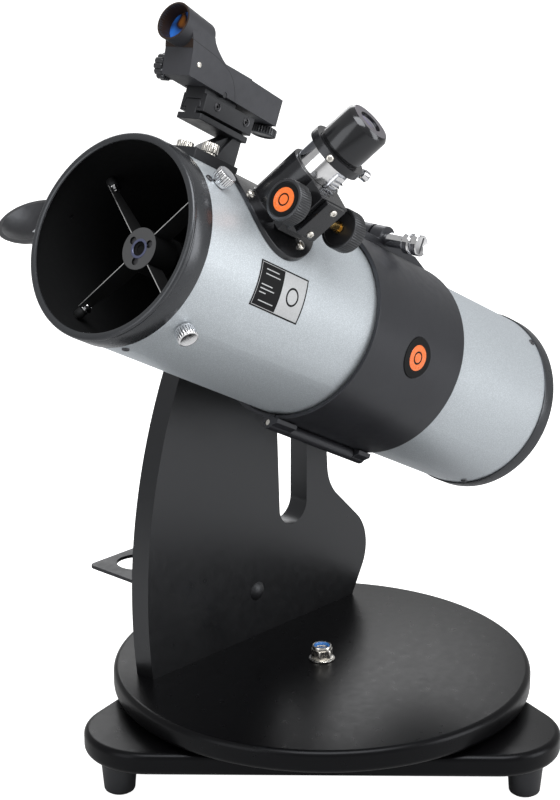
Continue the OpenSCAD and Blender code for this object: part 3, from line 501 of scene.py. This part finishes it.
def knurled(r, h, count, depth, rows, chamfer, dish=0.0):
    """A cylinder with a diamond knurl, chamfered ends and an optional dished cap."""
    profile = [(0, 0), (r - chamfer, 0), (r, chamfer)]
    flat = len(profile)
    for k in range(1, rows):
        profile.append((r, chamfer + (h - 2 * chamfer) * k / rows))
    ridged = range(flat, len(profile))
    inner = r - chamfer
    profile += [(r, h - chamfer), (inner, h), (inner - 0.8, h), (inner - 1.2, h - dish), (0, h - dish)]

    def wave(k, i):
        return -depth if k in ridged and (i + k) % 2 else 0

    return lathe(profile, count * 2, wave=wave)


RIB_STEPS = 4
RIB_RINGS = (3, 4)


def ribbed(r, h, count, depth, chamfer, inner, sunk):
    """A cylinder with straight ribs and a sunk cap on local Z = 0. Its groove floors take a second, darker
    material: painted shade.
    """
    steps = count * RIB_STEPS
    edge = chamfer * 0.4
    profile = [
        (0, 0), (r - chamfer - depth, 0), (r - depth, edge), (r, chamfer), (r, h - chamfer),
        (r - depth, h - edge), (r - chamfer - depth, h), (inner, h), (inner - 0.3, h - sunk), (0, h - sunk),
    ]
    half = RIB_STEPS / 2
    bm = lathe(profile, steps, wave=lambda k, i: -depth if k in RIB_RINGS and i % RIB_STEPS < half else 0)
    bm.faces.ensure_lookup_table()
    # groove floors get the second material, a painted shade that darkens them
    for i in range(0, steps, RIB_STEPS):
        bm.faces[RIB_RINGS[0] * steps + i].material_index = 1
    return bm


def scalloped(r, h, lobes, depth, chamfer):
    """A knob with rounded lobes and a shallow groove in its lower face."""
    steps = lobes * 12
    outer = range(5, 9)
    profile = [
        (0, 0), (r * 0.55, 0), (r * 0.6, 0.6), (r * 0.72, 0.6), (r * 0.78, 0), (r - chamfer, 0), (r, chamfer),
        (r, h - chamfer), (r - chamfer, h), (0, h),
    ]

    def wave(k, i):
        return -depth * abs(cos(lobes * pi * i / steps)) ** 6 if k in outer else 0

    return lathe(profile, steps, wave=wave)


# nodes with edges so close together that their rounding has to be held back
CROWDED = ("finder_body", "side_arm", "dock_shroud")
SAME_POINT = 0.002
SAME_PLANE = 0.5
ROUNDED_ANGLE = 28
SHARP_ANGLE = 32


def softened(node, material, width, segments=2, inner=None):
    """A CAD node as a piece with rounded edges. inner is a second material and a test of who takes it."""
    source = frame["nodes"][node]
    bm = bmesh.new()
    bm.from_mesh(source.data)
    bmesh.ops.remove_doubles(bm, verts=bm.verts, dist=SAME_POINT * MM)
    bmesh.ops.dissolve_limit(bm, angle_limit=radians(SAME_PLANE), verts=bm.verts, edges=bm.edges)
    if width:
        limit = radians(ROUNDED_ANGLE)
        edges = [e for e in bm.edges if len(e.link_faces) == 2 and e.calc_face_angle(0) > limit]
        bmesh.ops.bevel(bm, geom=edges, offset=width * MM, segments=segments, profile=0.5,
                        affect="EDGES", clamp_overlap=node in CROWDED)
    mesh = bpy.data.meshes.new(node + "_finished")
    bm.to_mesh(mesh)
    bm.free()
    mesh.materials.append(MATERIALS[material])
    mesh.polygons.foreach_set("use_smooth", [True] * len(mesh.polygons))
    mesh.set_sharp_from_angle(angle=radians(SHARP_ANGLE))
    if inner:
        second, test = inner
        mesh.materials.append(MATERIALS[second])
        for face in mesh.polygons:
            if test(face.center):
                face.material_index = 1
    obj = bpy.data.objects.new(node + "_finished", mesh)
    bpy.context.scene.collection.objects.link(obj)
    flat_faces_first(obj)
    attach(obj, source["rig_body"])
    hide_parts(node)


# ---- base ----

BOARD_EDGE = 5.0
CORNER_D = 152.0
CORNER_R = 51.0
CORNER_SPREAD = 60
CORNER_ANGLES = (-78.2, 41.8, 161.8)
FOOT_D = 179.0
EDGE_STEPS = 6


def slab(outline_at, low, high, r):
    """A board from an outline that can shrink: outline_at(inset), with rounded upper and lower edges."""
    levels = []
    for k in range(EDGE_STEPS + 1):
        t = pi / 2 * k / EDGE_STEPS
        levels.append((r * (1 - sin(t)), low + r * (1 - cos(t))))
    levels += [(inset, high - (z - low)) for inset, z in reversed(levels)]
    bm = bmesh.new()
    rings = [[bm.verts.new((x, y, z)) for x, y in outline_at(inset)] for inset, z in levels]
    for a, b in zip(rings, rings[1:]):
        for i in range(len(a)):
            j = (i + 1) % len(a)
            bm.faces.new((a[i], a[j], b[j], b[i]))
    bm.faces.new(rings[0])
    bm.faces.new(rings[-1])
    return bm


def ground_outline(inset):
    points = []
    for d in CORNER_ANGLES:
        a = radians(d)
        x, y = CORNER_D * cos(a), CORNER_D * sin(a)
        points += arc(x, y, CORNER_R - inset, d - CORNER_SPREAD, d + CORNER_SPREAD, 28)
    return points


NUT_STEPS = 72
NUT_CORNER_R = 8.9


def make_base():
    low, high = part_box("ground_board")
    board = slab(ground_outline, low.z / MM, high.z / MM, BOARD_EDGE)
    piece("ground_board_melamine", board, at(0, 0, 0), "black_board", "base",
          ["ground_board"])
    foot = [
        (0, 0), (9.2, 0), (10, 0.6), (11.2, 1.4), (11.9, 2.6), (12.1, 4.5), (12.4, 8), (13.2, 17), (14.0, 26),
        (14.4, 28.4), (14.4, 29.4), (14.0, 29.9), (4, 30), (3.9, 41), (0, 41),
    ]
    feet = [(lathe(foot, 64), local(turn_z=a) @ local(FOOT_D)) for a in CORNER_ANGLES]
    piece("feet_moulded", merged(*feet), at(0, 0, 0), "black_plastic", "base", ["feet"])
    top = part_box("turntable_disc")[1].z / MM
    nut = at(0, 0, top + 0.2)
    flange = [(5.2, 0.1), (9.8, 0.1), (10.3, 0.4), (10.3, 1.1), (9.7, 1.6), (8.6, 2.0), (5.2, 2.0)]
    hexagon = [(5.2, 1.7), (8.7, 1.7), (8.9, 2.3), (8.9, 8.0), (8.2, 9.0), (7.4, 9.3), (5.2, 9.3)]
    collar = [(7.0, 9.1), (7.7, 9.1), (7.75, 10.9), (7.4, 11.7), (6.9, 12.0), (6.5, 11.8), (6.4, 9.1)]

    def flats(k, i):
        """Pulls the outer rings of a turned profile in to a hexagon of the same corner radius."""
        share = abs(((i * 6 / NUT_STEPS) % 1) - 0.5) * 2
        flat = cos(radians(30)) / cos(radians(30) * (1 - share))
        return -NUT_CORNER_R * (1 - min(1.0, flat)) if k in (1, 2, 3) else 0

    parts = [(flange, None), (hexagon, flats), (collar, None)]
    parts = [lathe(profile, NUT_STEPS, True, wave) for profile, wave in parts]
    piece("pivot_nut_plated", merged(*parts), nut, "nickel", "base", ["pivot_nut"])
    insert = [(5.1, 9.4), (6.35, 9.4), (6.35, 11.0), (6.1, 11.45), (5.5, 11.45), (5.15, 11.0)]
    piece("nut_insert_ring", lathe(insert, 64, True), nut, "blue_nylon", "base",
          ["nut_insert"])


# ---- turntable ----


DISC_EDGE = 4.6
DISC_BORE_R = 8.1


def make_turntable():
    low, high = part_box("turntable_disc")
    r = high.x / MM
    h = (high.z - low.z) / MM
    e = DISC_EDGE
    profile = [(DISC_BORE_R, 0), (r - e, 0)]
    profile += [(r - e + e * sin(radians(a)), e - e * cos(radians(a))) for a in range(15, 91, 15)]
    profile += [(r - e + e * cos(radians(a)), h - e + e * sin(radians(a))) for a in range(0, 91, 15)]
    profile += [(DISC_BORE_R, h)]
    piece("turntable_melamine", lathe(profile, 240, True), at(0, 0, low.z / MM), "black_board",
          "turntable", ["turntable_disc"])
    softened("side_arm", "arm_board", 1.3, 3)
    softened("accessory_tray", "black_plastic", 0.6)


# ---- trim rings and tube ----


FRONT_SCREWS = (38.5, 163, -81)
FRONT_SCREW_S = 232
REAR_SCREWS = (40, 160, -80)
REAR_SCREW_S = -183


def make_tube():
    def inside(centre):
        away = centre - TUBE_POINT
        return (away - AXIS * away.dot(AXIS)).length < (TUBE_R - 0.5) * MM

    softened("optical_tube", "silver_paint", 0, inner=("tube_inside", inside))
    front = [
        (72.6, -19.4), (72.75, -19.0), (72.75, -4.6), (72.5, -3.9), (72.25, -3.3), (72.4, -2.6),
        (72.6, -1.9), (72.4, -1.0), (71.6, -0.25), (70.2, 0), (68.6, -0.1), (67.7, -0.6), (67.4, -1.3),
        (67.6, -1.9), (71.5, -1.9), (71.55, -19.4),
    ]
    piece("front_ring_trim", lathe(front, 240, True), along_tube(FRONT_END), "trim_paint", "tube",
          ["front_ring"])
    rear = [
        (72.4, 13.4), (72.6, 13.0), (72.6, 1.0), (72.1, 0.3), (71.0, 0), (68.4, 0.1), (67.6, 0.6),
        (67.4, 1.4), (67.6, 1.9), (71.5, 1.9), (71.55, 13.4),
    ]
    piece("rear_ring_trim", lathe(rear, 240, True), along_tube(REAR_END), "trim_paint", "tube",
          ["rear_ring"])
    places = [(angle, FRONT_SCREW_S) for angle in FRONT_SCREWS]
    places += [(angle, REAR_SCREW_S) for angle in REAR_SCREWS]
    seat = local(z=TUBE_R + 0.1)
    screws = [(pan_screw(2.7, 1.3), out_of_tube(*place) @ seat) for place in places]
    piece("ring_screw_heads", merged(*screws), IN_PLACE, "dark_steel", "tube",
          ["ring_screws"])


def wrapped(bm, radius, angle, s):
    """Wraps a flat shape in local X and Y round the tube at a radius, its middle at an angle and station."""
    for v in bm.verts:
        r = radius + v.co.z
        t = radians(angle) + v.co.y / radius
        v.co = (s + v.co.x, r * sin(t), r * cos(t))
    return bm


SHEET_COLUMNS = 2
SHEET_FOOT = 0.1
DISC_RINGS = 8


def patch(x0, y0, x1, y1, z, rows=18):
    """A thin sheet standing on local Z = 0 with its face at z, fine enough along Y to be wrapped."""
    bm = bmesh.new()
    grid = []
    for i in range(SHEET_COLUMNS + 1):
        x = x0 + (x1 - x0) * i / SHEET_COLUMNS
        grid.append([bm.verts.new((x, y0 + (y1 - y0) * j / rows, z)) for j in range(rows + 1)])
    for i in range(SHEET_COLUMNS):
        for j in range(rows):
            bm.faces.new((grid[i][j], grid[i + 1][j], grid[i + 1][j + 1], grid[i][j + 1]))
    return thickened(bm, -z * (1 - SHEET_FOOT))


def disc(r0, r1, z):
    """A thin flat ring or disc standing on local Z = 0, with rings close enough to be wrapped."""
    foot = z * SHEET_FOOT
    radii = [r0 + (r1 - r0) * k / DISC_RINGS for k in range(DISC_RINGS + 1)]
    profile = [(r0, foot)] if r0 else []
    profile += [(r, z) for r in radii]
    profile += [(r1 + z * 0.3, z * 0.4), (r1 + z * 0.3, foot)]
    profile += [(r, foot) for r in radii[-2:0:-1]]
    if not r0:
        profile.append((0, foot))
    return lathe(profile, 72, bool(r0))


LABEL_R = TUBE_R + 0.05
LABEL_S = 157.5
LABEL_ANGLE = 88
BADGE_R = 75.9
BADGE_S = -5.6
BADGE_ANGLE = 90
# across the label, and from where to where along it
LABEL_BARS = ((-11.5, 6, 20), (-8.2, 4, 20), (-0.6, 10, 22), (2.2, 7, 22), (5.0, 15, 22), (10.6, 4, 20))


def make_labels():
    """Plain printed panels: no lettering, only generic shapes."""
    tube = out_of_tube(0)

    def stuck(name, material, body, place, parts, replaces=()):
        whole = [wrapped(part, *place) for part in parts]
        piece(name, merged(*whole), tube, material, body, replaces, sharp=50)

    label = (LABEL_R, LABEL_ANGLE, LABEL_S)
    stuck("tube_label", "label_black", "tube", label, [patch(-26.5, -16.2, 26.5, 16.2, 0.12)])
    lines = [patch(0, y, 25.2, y + 0.35, 0.17, rows=1) for y in (-15.1, 14.75)]
    lines.append(patch(24.9, -15.1, 25.25, 15.1, 0.17))
    lines.append(patch(-25.2, -15.1, 0, 15.1, 0.16))
    for y, start, end in LABEL_BARS:
        lines.append(patch(start, y, end, y + 0.7, 0.17, rows=1))
    stuck("tube_label_silver", "label_silver", "tube", label, lines)
    mark = disc(5.2, 6.6, 0.22)
    mark.transform(local(-12.6, 0))
    stuck("tube_label_mark", "label_black", "tube", label, [mark])
    badge = (BADGE_R, BADGE_ANGLE, BADGE_S)
    stuck("badge_disc", "label_black", "outer_half", badge, [disc(0, 15.2, 0.5)], ["badge"])
    stuck("badge_ring", "badge_enamel", "outer_half", badge, [disc(5.0, 9.6, 0.6)])
    stuck("badge_dot", "badge_enamel", "outer_half", badge, [disc(0, 3.6, 0.6)])


# ---- spider, knobs and screws on the tube ----


def make_spider():
    """Four vanes with end screws and outer knobs, the hub's washer and recess, and the cell's knobs."""
    sheet = [(6.4, 14), (6.4, 62), (-2.5, 62), (-9.4, 30), (-9.4, 14)]
    end_block = [(0, 62.4), (3.3, 62.4), (3.6, 62.9), (3.6, 68.6), (3.2, 69.4), (0, 69.4)]
    end_screw = [
        (0, 57.2), (2.3, 57.2), (2.7, 57.7), (2.7, 60.4), (4.5, 60.4), (4.7, 60.8), (4.5, 61.3), (3.1, 61.4),
        (3.1, 62.3), (0, 62.3),
    ]
    stud = [(0, 62), (2, 62), (2, 71.8), (5.9, 71.8), (6.2, 72.1), (6.2, 73.8), (0, 73.8)]
    vanes, edges, fittings, knobs = [], [], [], []
    for k in range(4):
        arm = out_of_tube(FOCUSER_ANGLE + 90 * k, SPIDER_S)
        vanes.append((prism(sheet, 0.9), arm @ local(turn_x=90) @ local(z=-0.45)))
        vanes.append((lathe(end_block, 40), arm))
        edges.append((block((6.4, -0.28, 15.2), (6.6, 0.28, 61.5)), arm))
        fittings.append((lathe(end_screw, 40), arm))
        knobs.append((ribbed(7.25, 8, 24, 0.35, 0.7, 5.9, 0.1), arm @ local(z=73.6)))
        knobs.append((lathe(stud, 48), arm))
    piece("spider_vane_sheets", merged(*vanes), IN_PLACE, "spider_black", "tube",
          ["spider_vanes"])
    piece("spider_vane_edges", merged(*edges), IN_PLACE, "vane_edge", "tube")
    piece("spider_end_screws", merged(*fittings), IN_PLACE, "chrome", "tube")
    # the knobs' groove floors take a darker material: painted shade
    piece("vane_knobs_knurled", merged(*knobs), IN_PLACE, "satin_nickel", "tube", ["vane_knobs"],
          groove="dark_steel")
    hub_back = TUBE_POINT + AXIS * (HUB_FACE_S - 0.1) * MM
    softened("spider_hub", "hub_grey", 0.3,
             inner=("tube_inside", lambda centre: (centre - hub_back).dot(AXIS) < 0))
    front = along_tube(HUB_FACE_S)
    washer = [(5.05, 0.0), (5.4, 0.35), (6.2, 0.45), (6.9, 0.3), (7.1, 0.0), (6.9, -0.1), (5.05, -0.1)]
    recess = [(5.0, 0.0), (4.5, -1.2), (3.4, -1.8), (3.2, -2.6), (0, -2.7), (0, -2.9), (4.95, -2.9)]
    piece("hub_washer", lathe(washer, 64, True), front, "blue_grey", "tube")
    piece("hub_recess", lathe(recess, 64), front, "tube_inside", "tube")
    places = [local(turn_z=60 + 120 * k) for k in range(3)]
    heads = local(CELL_KNOB_R, 0, CELL_KNOB_S, turn_x=180)
    cells = [(ribbed(7, 6.4, 24, 0.35, 0.6, 5.6, 0.1), place @ heads) for place in places]
    shank = [(0, -199.5), (3, -199.5), (3, -181), (0, -181)]
    cells += [(lathe(shank, 40), place @ local(CELL_KNOB_R)) for place in places]
    # the knobs' groove floors take a darker material: painted shade
    piece("cell_knobs_knurled", merged(*cells), along_tube(), "satin_nickel", "tube",
          ["cell_knobs"], groove="dark_steel")


# ---- focuser and eyepiece ----


SADDLE_R = 75
SADDLE_SCREW_D = 30
COLLAR_H = 133
KNOB_NEAR = 22
KNOB_FAR = -41.4
PINION_PLACE = (26.2, 96.1)


def make_focuser():
    base = out_of_tube(FOCUSER_ANGLE, FOCUSER_S)
    screws = []
    for a in (0, 120, 240):
        turn = FOCUSER_ANGLE + asin(SADDLE_SCREW_D * sin(radians(a)) / SADDLE_R) * 180 / pi
        place = out_of_tube(turn, FOCUSER_S + SADDLE_SCREW_D * cos(radians(a)))
        screws.append((pan_screw(3.3, 1.9), place @ local(z=SADDLE_R + 0.2)))
    for h in (86.5, 108.5):
        screws.append((pan_screw(2.7, 1.4), base @ local(-1, 35.9, h, turn_x=-90)))
    piece("focuser_screw_heads", merged(*screws), IN_PLACE, "nickel", "tube",
          ["focuser_screws"])
    near, far = [base @ local(s, *PINION_PLACE, turn_y=90) for s in (KNOB_NEAR, KNOB_FAR)]
    knobs = [(ribbed(15, 12.4, 52, 0.4, 0.9, 12.6, sunk), place) for sunk, place in ((0.7, near), (0.5, far))]
    # the knobs' groove floors take a darker material: painted shade
    piece("focus_knobs_ribbed", merged(*knobs), IN_PLACE, "knob_black", "pinion",
          ["focus_knobs"], groove="seam_black_and_groove_shade")
    face = near @ local(z=11.75)
    marks = merged(disc(4.6, 8.6, 0.5), disc(0, 3.4, 0.5))
    piece("focus_knob_disc", disc(0, 11.9, 0.35), face, "label_black", "pinion", sharp=50)
    piece("focus_knob_ring", marks, face, "badge_enamel", "pinion", sharp=50)
    collar = base @ local(z=COLLAR_H)
    lock_side = collar @ local(turn_z=156)
    lock = [
        (knurled(3.9, 6, 20, 0.28, 6, 0.6, 0.1), lock_side @ local(24, turn_y=90)),
        (lathe([(0, 0), (1.5, 0), (1.5, 8), (0, 8)], 24), lock_side @ local(16.5, turn_y=90)),
    ]
    piece("eyepiece_lock_knurled", merged(*lock), IN_PLACE, "chrome", "eyepiece_lock",
          ["eyepiece_lock"])
    piece("collar_set_screw", pan_screw(2.7, 2.0), collar @ local(turn_z=38) @ local(21.9, turn_y=90),
          "nickel", "drawtube")
    barrel = [
        (13.4, 106), (15.6, 106), (15.85, 106.4), (15.85, 136.4), (16.6, 136.4), (16.6, 137.8),
        (17.3, 138.0), (17.6, 138.4), (17.6, 161.4), (17.3, 162.2), (15.4, 164.7), (15.0, 165), (9.1, 165),
        (8.7, 164.8), (8.5, 163.0), (0, 163.0), (0, 156), (13.4, 150),
    ]
    piece("eyepiece_barrel", lathe(barrel, 128), base, "eyepiece_black", "eyepiece",
          ["eyepiece"])
    top = [(9.0, 164.9), (9.1, 165.12), (14.9, 165.12), (15.1, 164.95)]
    piece("eyepiece_face", lathe(top, 128, True), base, "top_grey", "eyepiece")
    lens = [(8.5, 163.0), (7.2, 163.7), (5.0, 164.15), (2.5, 164.4), (0, 164.5)]
    piece("eye_lens", lathe(lens, 96), base, "eye_glass", "eyepiece")


# ---- clamp and finder ----


def ribbon(points, width, z):
    """A thin strip along a line in local X and Y, with its face at z."""
    bm = bmesh.new()
    sides = []
    for k, (x, y) in enumerate(points):
        xa, ya = points[max(k - 1, 0)]
        xb, yb = points[min(k + 1, len(points) - 1)]
        n = Vector((ya - yb, xb - xa)).normalized() * width / 2
        sides.append((bm.verts.new((x + n.x, y + n.y, z)), bm.verts.new((x - n.x, y - n.y, z))))
    for a, b in zip(sides, sides[1:]):
        bm.faces.new((a[0], a[1], b[1], b[0]))
    return bm


def make_clamp():
    side = out_of_tube(0) @ local(-4, 0, 82, turn_x=-90)
    sleeve = [(3.1, 15.05), (5.2, 15.05), (5.5, 15.4), (5.5, 33.6), (5.2, 33.9), (3.1, 33.9)]
    piece("clamp_sleeve_plated", lathe(sleeve, 64, True), side, "chrome", "outer_half",
          ["clamp_sleeve"])
    knurl = (8, 6.3, 36, 0.35, 7, 0.6)
    neck = [(6.7, 39.9), (6.7, 42.6)]
    shank = [(0, -9), (3, -9), (3, 34.4), (0, 34.4)]
    parts = [
        (knurled(*knurl), local(z=34)),
        (knurled(*knurl, 0.2), local(z=42.2)),
        lathe(neck, 64),
        lathe(shank, 48),
    ]
    piece("clamp_knob_knurled", merged(*parts), side, "chrome", "clamp_screw", ["clamp_knob"])
    # a dark bar in the knob's dish stands for the slot, which is not cut: painted shade
    slot_shade = block((-0.8, -6.2, 48.2), (0.8, 6.2, 48.42))
    piece("clamp_knob_slot_shade", slot_shade, side, "dark_steel", "clamp_screw")


NUT_S = 200
NUT_SIDE = 12
GRUB_STATIONS = (172, 204)
BODY_SIDE = 13.0
SIGHT_START = (211, 0, 150.22)
SIGHT_TILT = 86
SIGHT_R = 12.4


def make_finder():
    f = out_of_tube(FINDER_ANGLE)
    nuts = []
    for w in (-NUT_SIDE, NUT_SIDE):
        nuts.append((ribbed(6, 7, 22, 0.32, 0.6, 4.7, 0.1), f @ local(NUT_S, w, 78.6)))
        nuts.append((lathe([(0, 76.7), (4.5, 76.7), (4.5, 79), (0, 79)], 40), f @ local(NUT_S, w)))
    # the nuts' groove floors take a darker material: painted shade
    piece("finder_nuts_knurled", merged(*nuts), IN_PLACE, "nickel", "tube", ["finder_nuts"],
          groove="dark_steel")
    hexagon = polygon(1.25, 6)
    head = [(0, -3), (3.3, -3), (3.3, 0.35), (2.9, 0.6), (2.4, 0.5), (2.2, -0.3), (1.9, -0.2)]
    grubs = [
        (socket_head(head, hexagon, 1.2), f @ local(s, 11.95, 110.9, turn_x=-90)) for s in GRUB_STATIONS
    ]
    piece("shoe_grub_screws", merged(*grubs), IN_PLACE, "dark_steel", "tube",
          ["shoe_screws"])
    side = f @ local(0, BODY_SIDE, 0, turn_x=90) @ Matrix.Diagonal((1, 1, -1, 1))
    seam = [
        (247.5, 145), (240, 143.9), (231, 143), (223, 142.2), (216, 141), (209, 139.4), (202, 136.6),
        (197.6, 133.3), (194.5, 129.5), (192, 125.2), (190, 120.4),
    ]
    piece("finder_seam", ribbon(seam, 0.45, 0.04), side, "seam_black_and_groove_shade", "finder")
    piece("finder_side_screw", pan_screw(2.1, 0.8), f @ local(233.5, BODY_SIDE, 130.5, turn_x=-90), "nickel",
          "finder")
    wheel = [(scalloped(9.5, 7.6, 12, 1.1, 0.9), local(z=0.3)), lathe([(0, -8), (2, -8), (2, 1), (0, 1)], 32)]
    piece("windage_knob_moulded", merged(*wheel), f @ local(233, -13.4, 128, turn_x=90), "knob_black",
          "windage", ["windage_knob"])
    sight = f @ local(*SIGHT_START, turn_y=SIGHT_TILT)
    start = sight.translation.copy()
    along = (sight.to_3x3() @ Vector((0, 0, 1))).normalized()

    def in_hood(centre):
        away = centre - start
        reach = away.dot(along)
        return reach > 0 and (away - along * reach).length < SIGHT_R * MM

    # faces inside the hood take a darker, browner material: painted shade
    softened("finder_body", "finder_plastic", 0.9, inner=("hood_painted_shade", in_hood))
    parts = [
        (ribbed(9.5, 6, 28, 0.6, 0.7, 7.4, 0.7), local(z=118, turn_x=180)),
        lathe([(0, 115), (2, 115), (2, 126), (0, 126)], 32),
        lathe([(4.2, 117.9), (6.4, 117.9), (6.4, 118.3), (4.2, 118.3)], 48, True),
    ]
    # the knob's groove floors take a darker material: painted shade
    piece("elevation_knob_moulded", merged(*parts), f @ local(139), "knob_black", "elevation",
          ["elevation_knob"], groove="seam_black_and_groove_shade")


# ---- CAD nodes that keep their shape: with rounded edges, or with a better material only ----

# node: material, slot, width of the rounding
SOFTENED = {
    "azimuth_pads": ("ptfe", "ptfe", 0.5),
    "pivot_bolt": ("zinc_steel", "zinc_steel", 0.4),
    "tray_bolt": ("black_plastic", "black_plastic", 0.3),
    "ring_inner_half": ("ring_paint", "ring_paint", 0.5),
    "ring_outer_half": ("ring_paint", "ring_paint", 0.5),
    "altitude_boss": ("black_plastic", "black_plastic", 0.6),
    "altitude_knob": ("black_plastic", "black_plastic", 1.0),
    "mirror_cell": ("black_plastic", "black_plastic", 0.6),
    "mirror_clips": ("black_plastic", "black_plastic", 0.4),
    "focuser_base": ("focuser_black", "focuser_black", 0.5),
    "pinion_cover": ("focuser_black", "focuser_black", 0.5),
    "drawtube": ("chrome", "chrome", 0.12),
    "drawtube_collar": ("focuser_black", "focuser_black", 0.5),
    "finder_bracket": ("black_plastic", "black_plastic", 0.6),
    "finder_shoe": ("black_plastic", "black_plastic", 0.4),
    "dock_bracket": ("black_plastic", "black_plastic", 0.8),
    "phone_clamp": ("black_plastic", "black_plastic", 0.8),
    "dock_shroud": ("black_plastic", "black_plastic", 0.5),
    "tray_flange": ("black_plastic", "black_plastic", 0.5),
}
PLAIN = {
    "pivot_bush": "ptfe",
    "arm_screws": "zinc_steel",
    "felt_inner": "felt",
    "felt_outer": "felt",
    "altitude_axle": "zinc_steel",
    "hinge_pin": "zinc_steel",
    "secondary_holder": "tube_inside",
    "secondary_mirror": "mirror_coating",
    "collimation_screws": "dark_steel",
    "primary_mirror": "mirror_coating",
    "drawtube_rack": "chrome",
    "pinion_shaft": "brass_shaft",
    "finder_lens": "finder_glass",
    "dock_mirror": "mirror_coating",
}


def make_softened():
    for node, (material, slot, width) in SOFTENED.items():
        softened(node, material, width)
    for node, material in PLAIN.items():
        obj = frame["nodes"][node]
        for place in obj.material_slots:
            place.material = MATERIALS[material]


FLOOR_HALF = 6


def make_floor():
    """A pale floor that lights up only where the camera sees it, so that it stays white behind the object."""
    bm = bmesh.new()
    bmesh.ops.create_grid(bm, x_segments=1, y_segments=1, size=FLOOR_HALF)
    mesh = bpy.data.meshes.new("floor")
    bm.to_mesh(mesh)
    bm.free()
    paper = coated("pale_floor", (0.62, 0.62, 0.62), 0.8, 300, 0.02, 0.01, specular=0.05)
    main = paper.node_tree.nodes["Principled BSDF"]
    ray = paper.node_tree.nodes.new("ShaderNodeLightPath")
    paper.node_tree.links.new(ray.outputs["Is Camera Ray"], main.inputs["Emission Strength"])
    main.inputs["Emission Color"].default_value = (1, 1, 1, 1)
    mesh.materials.append(paper)
    floor = bpy.data.objects.new("floor", mesh)
    bpy.context.scene.collection.objects.link(floor)


make_camera()
make_studio()
make_floor()
make_base()
make_turntable()
make_tube()
make_labels()
make_spider()
make_focuser()
make_clamp()
make_finder()
make_softened()
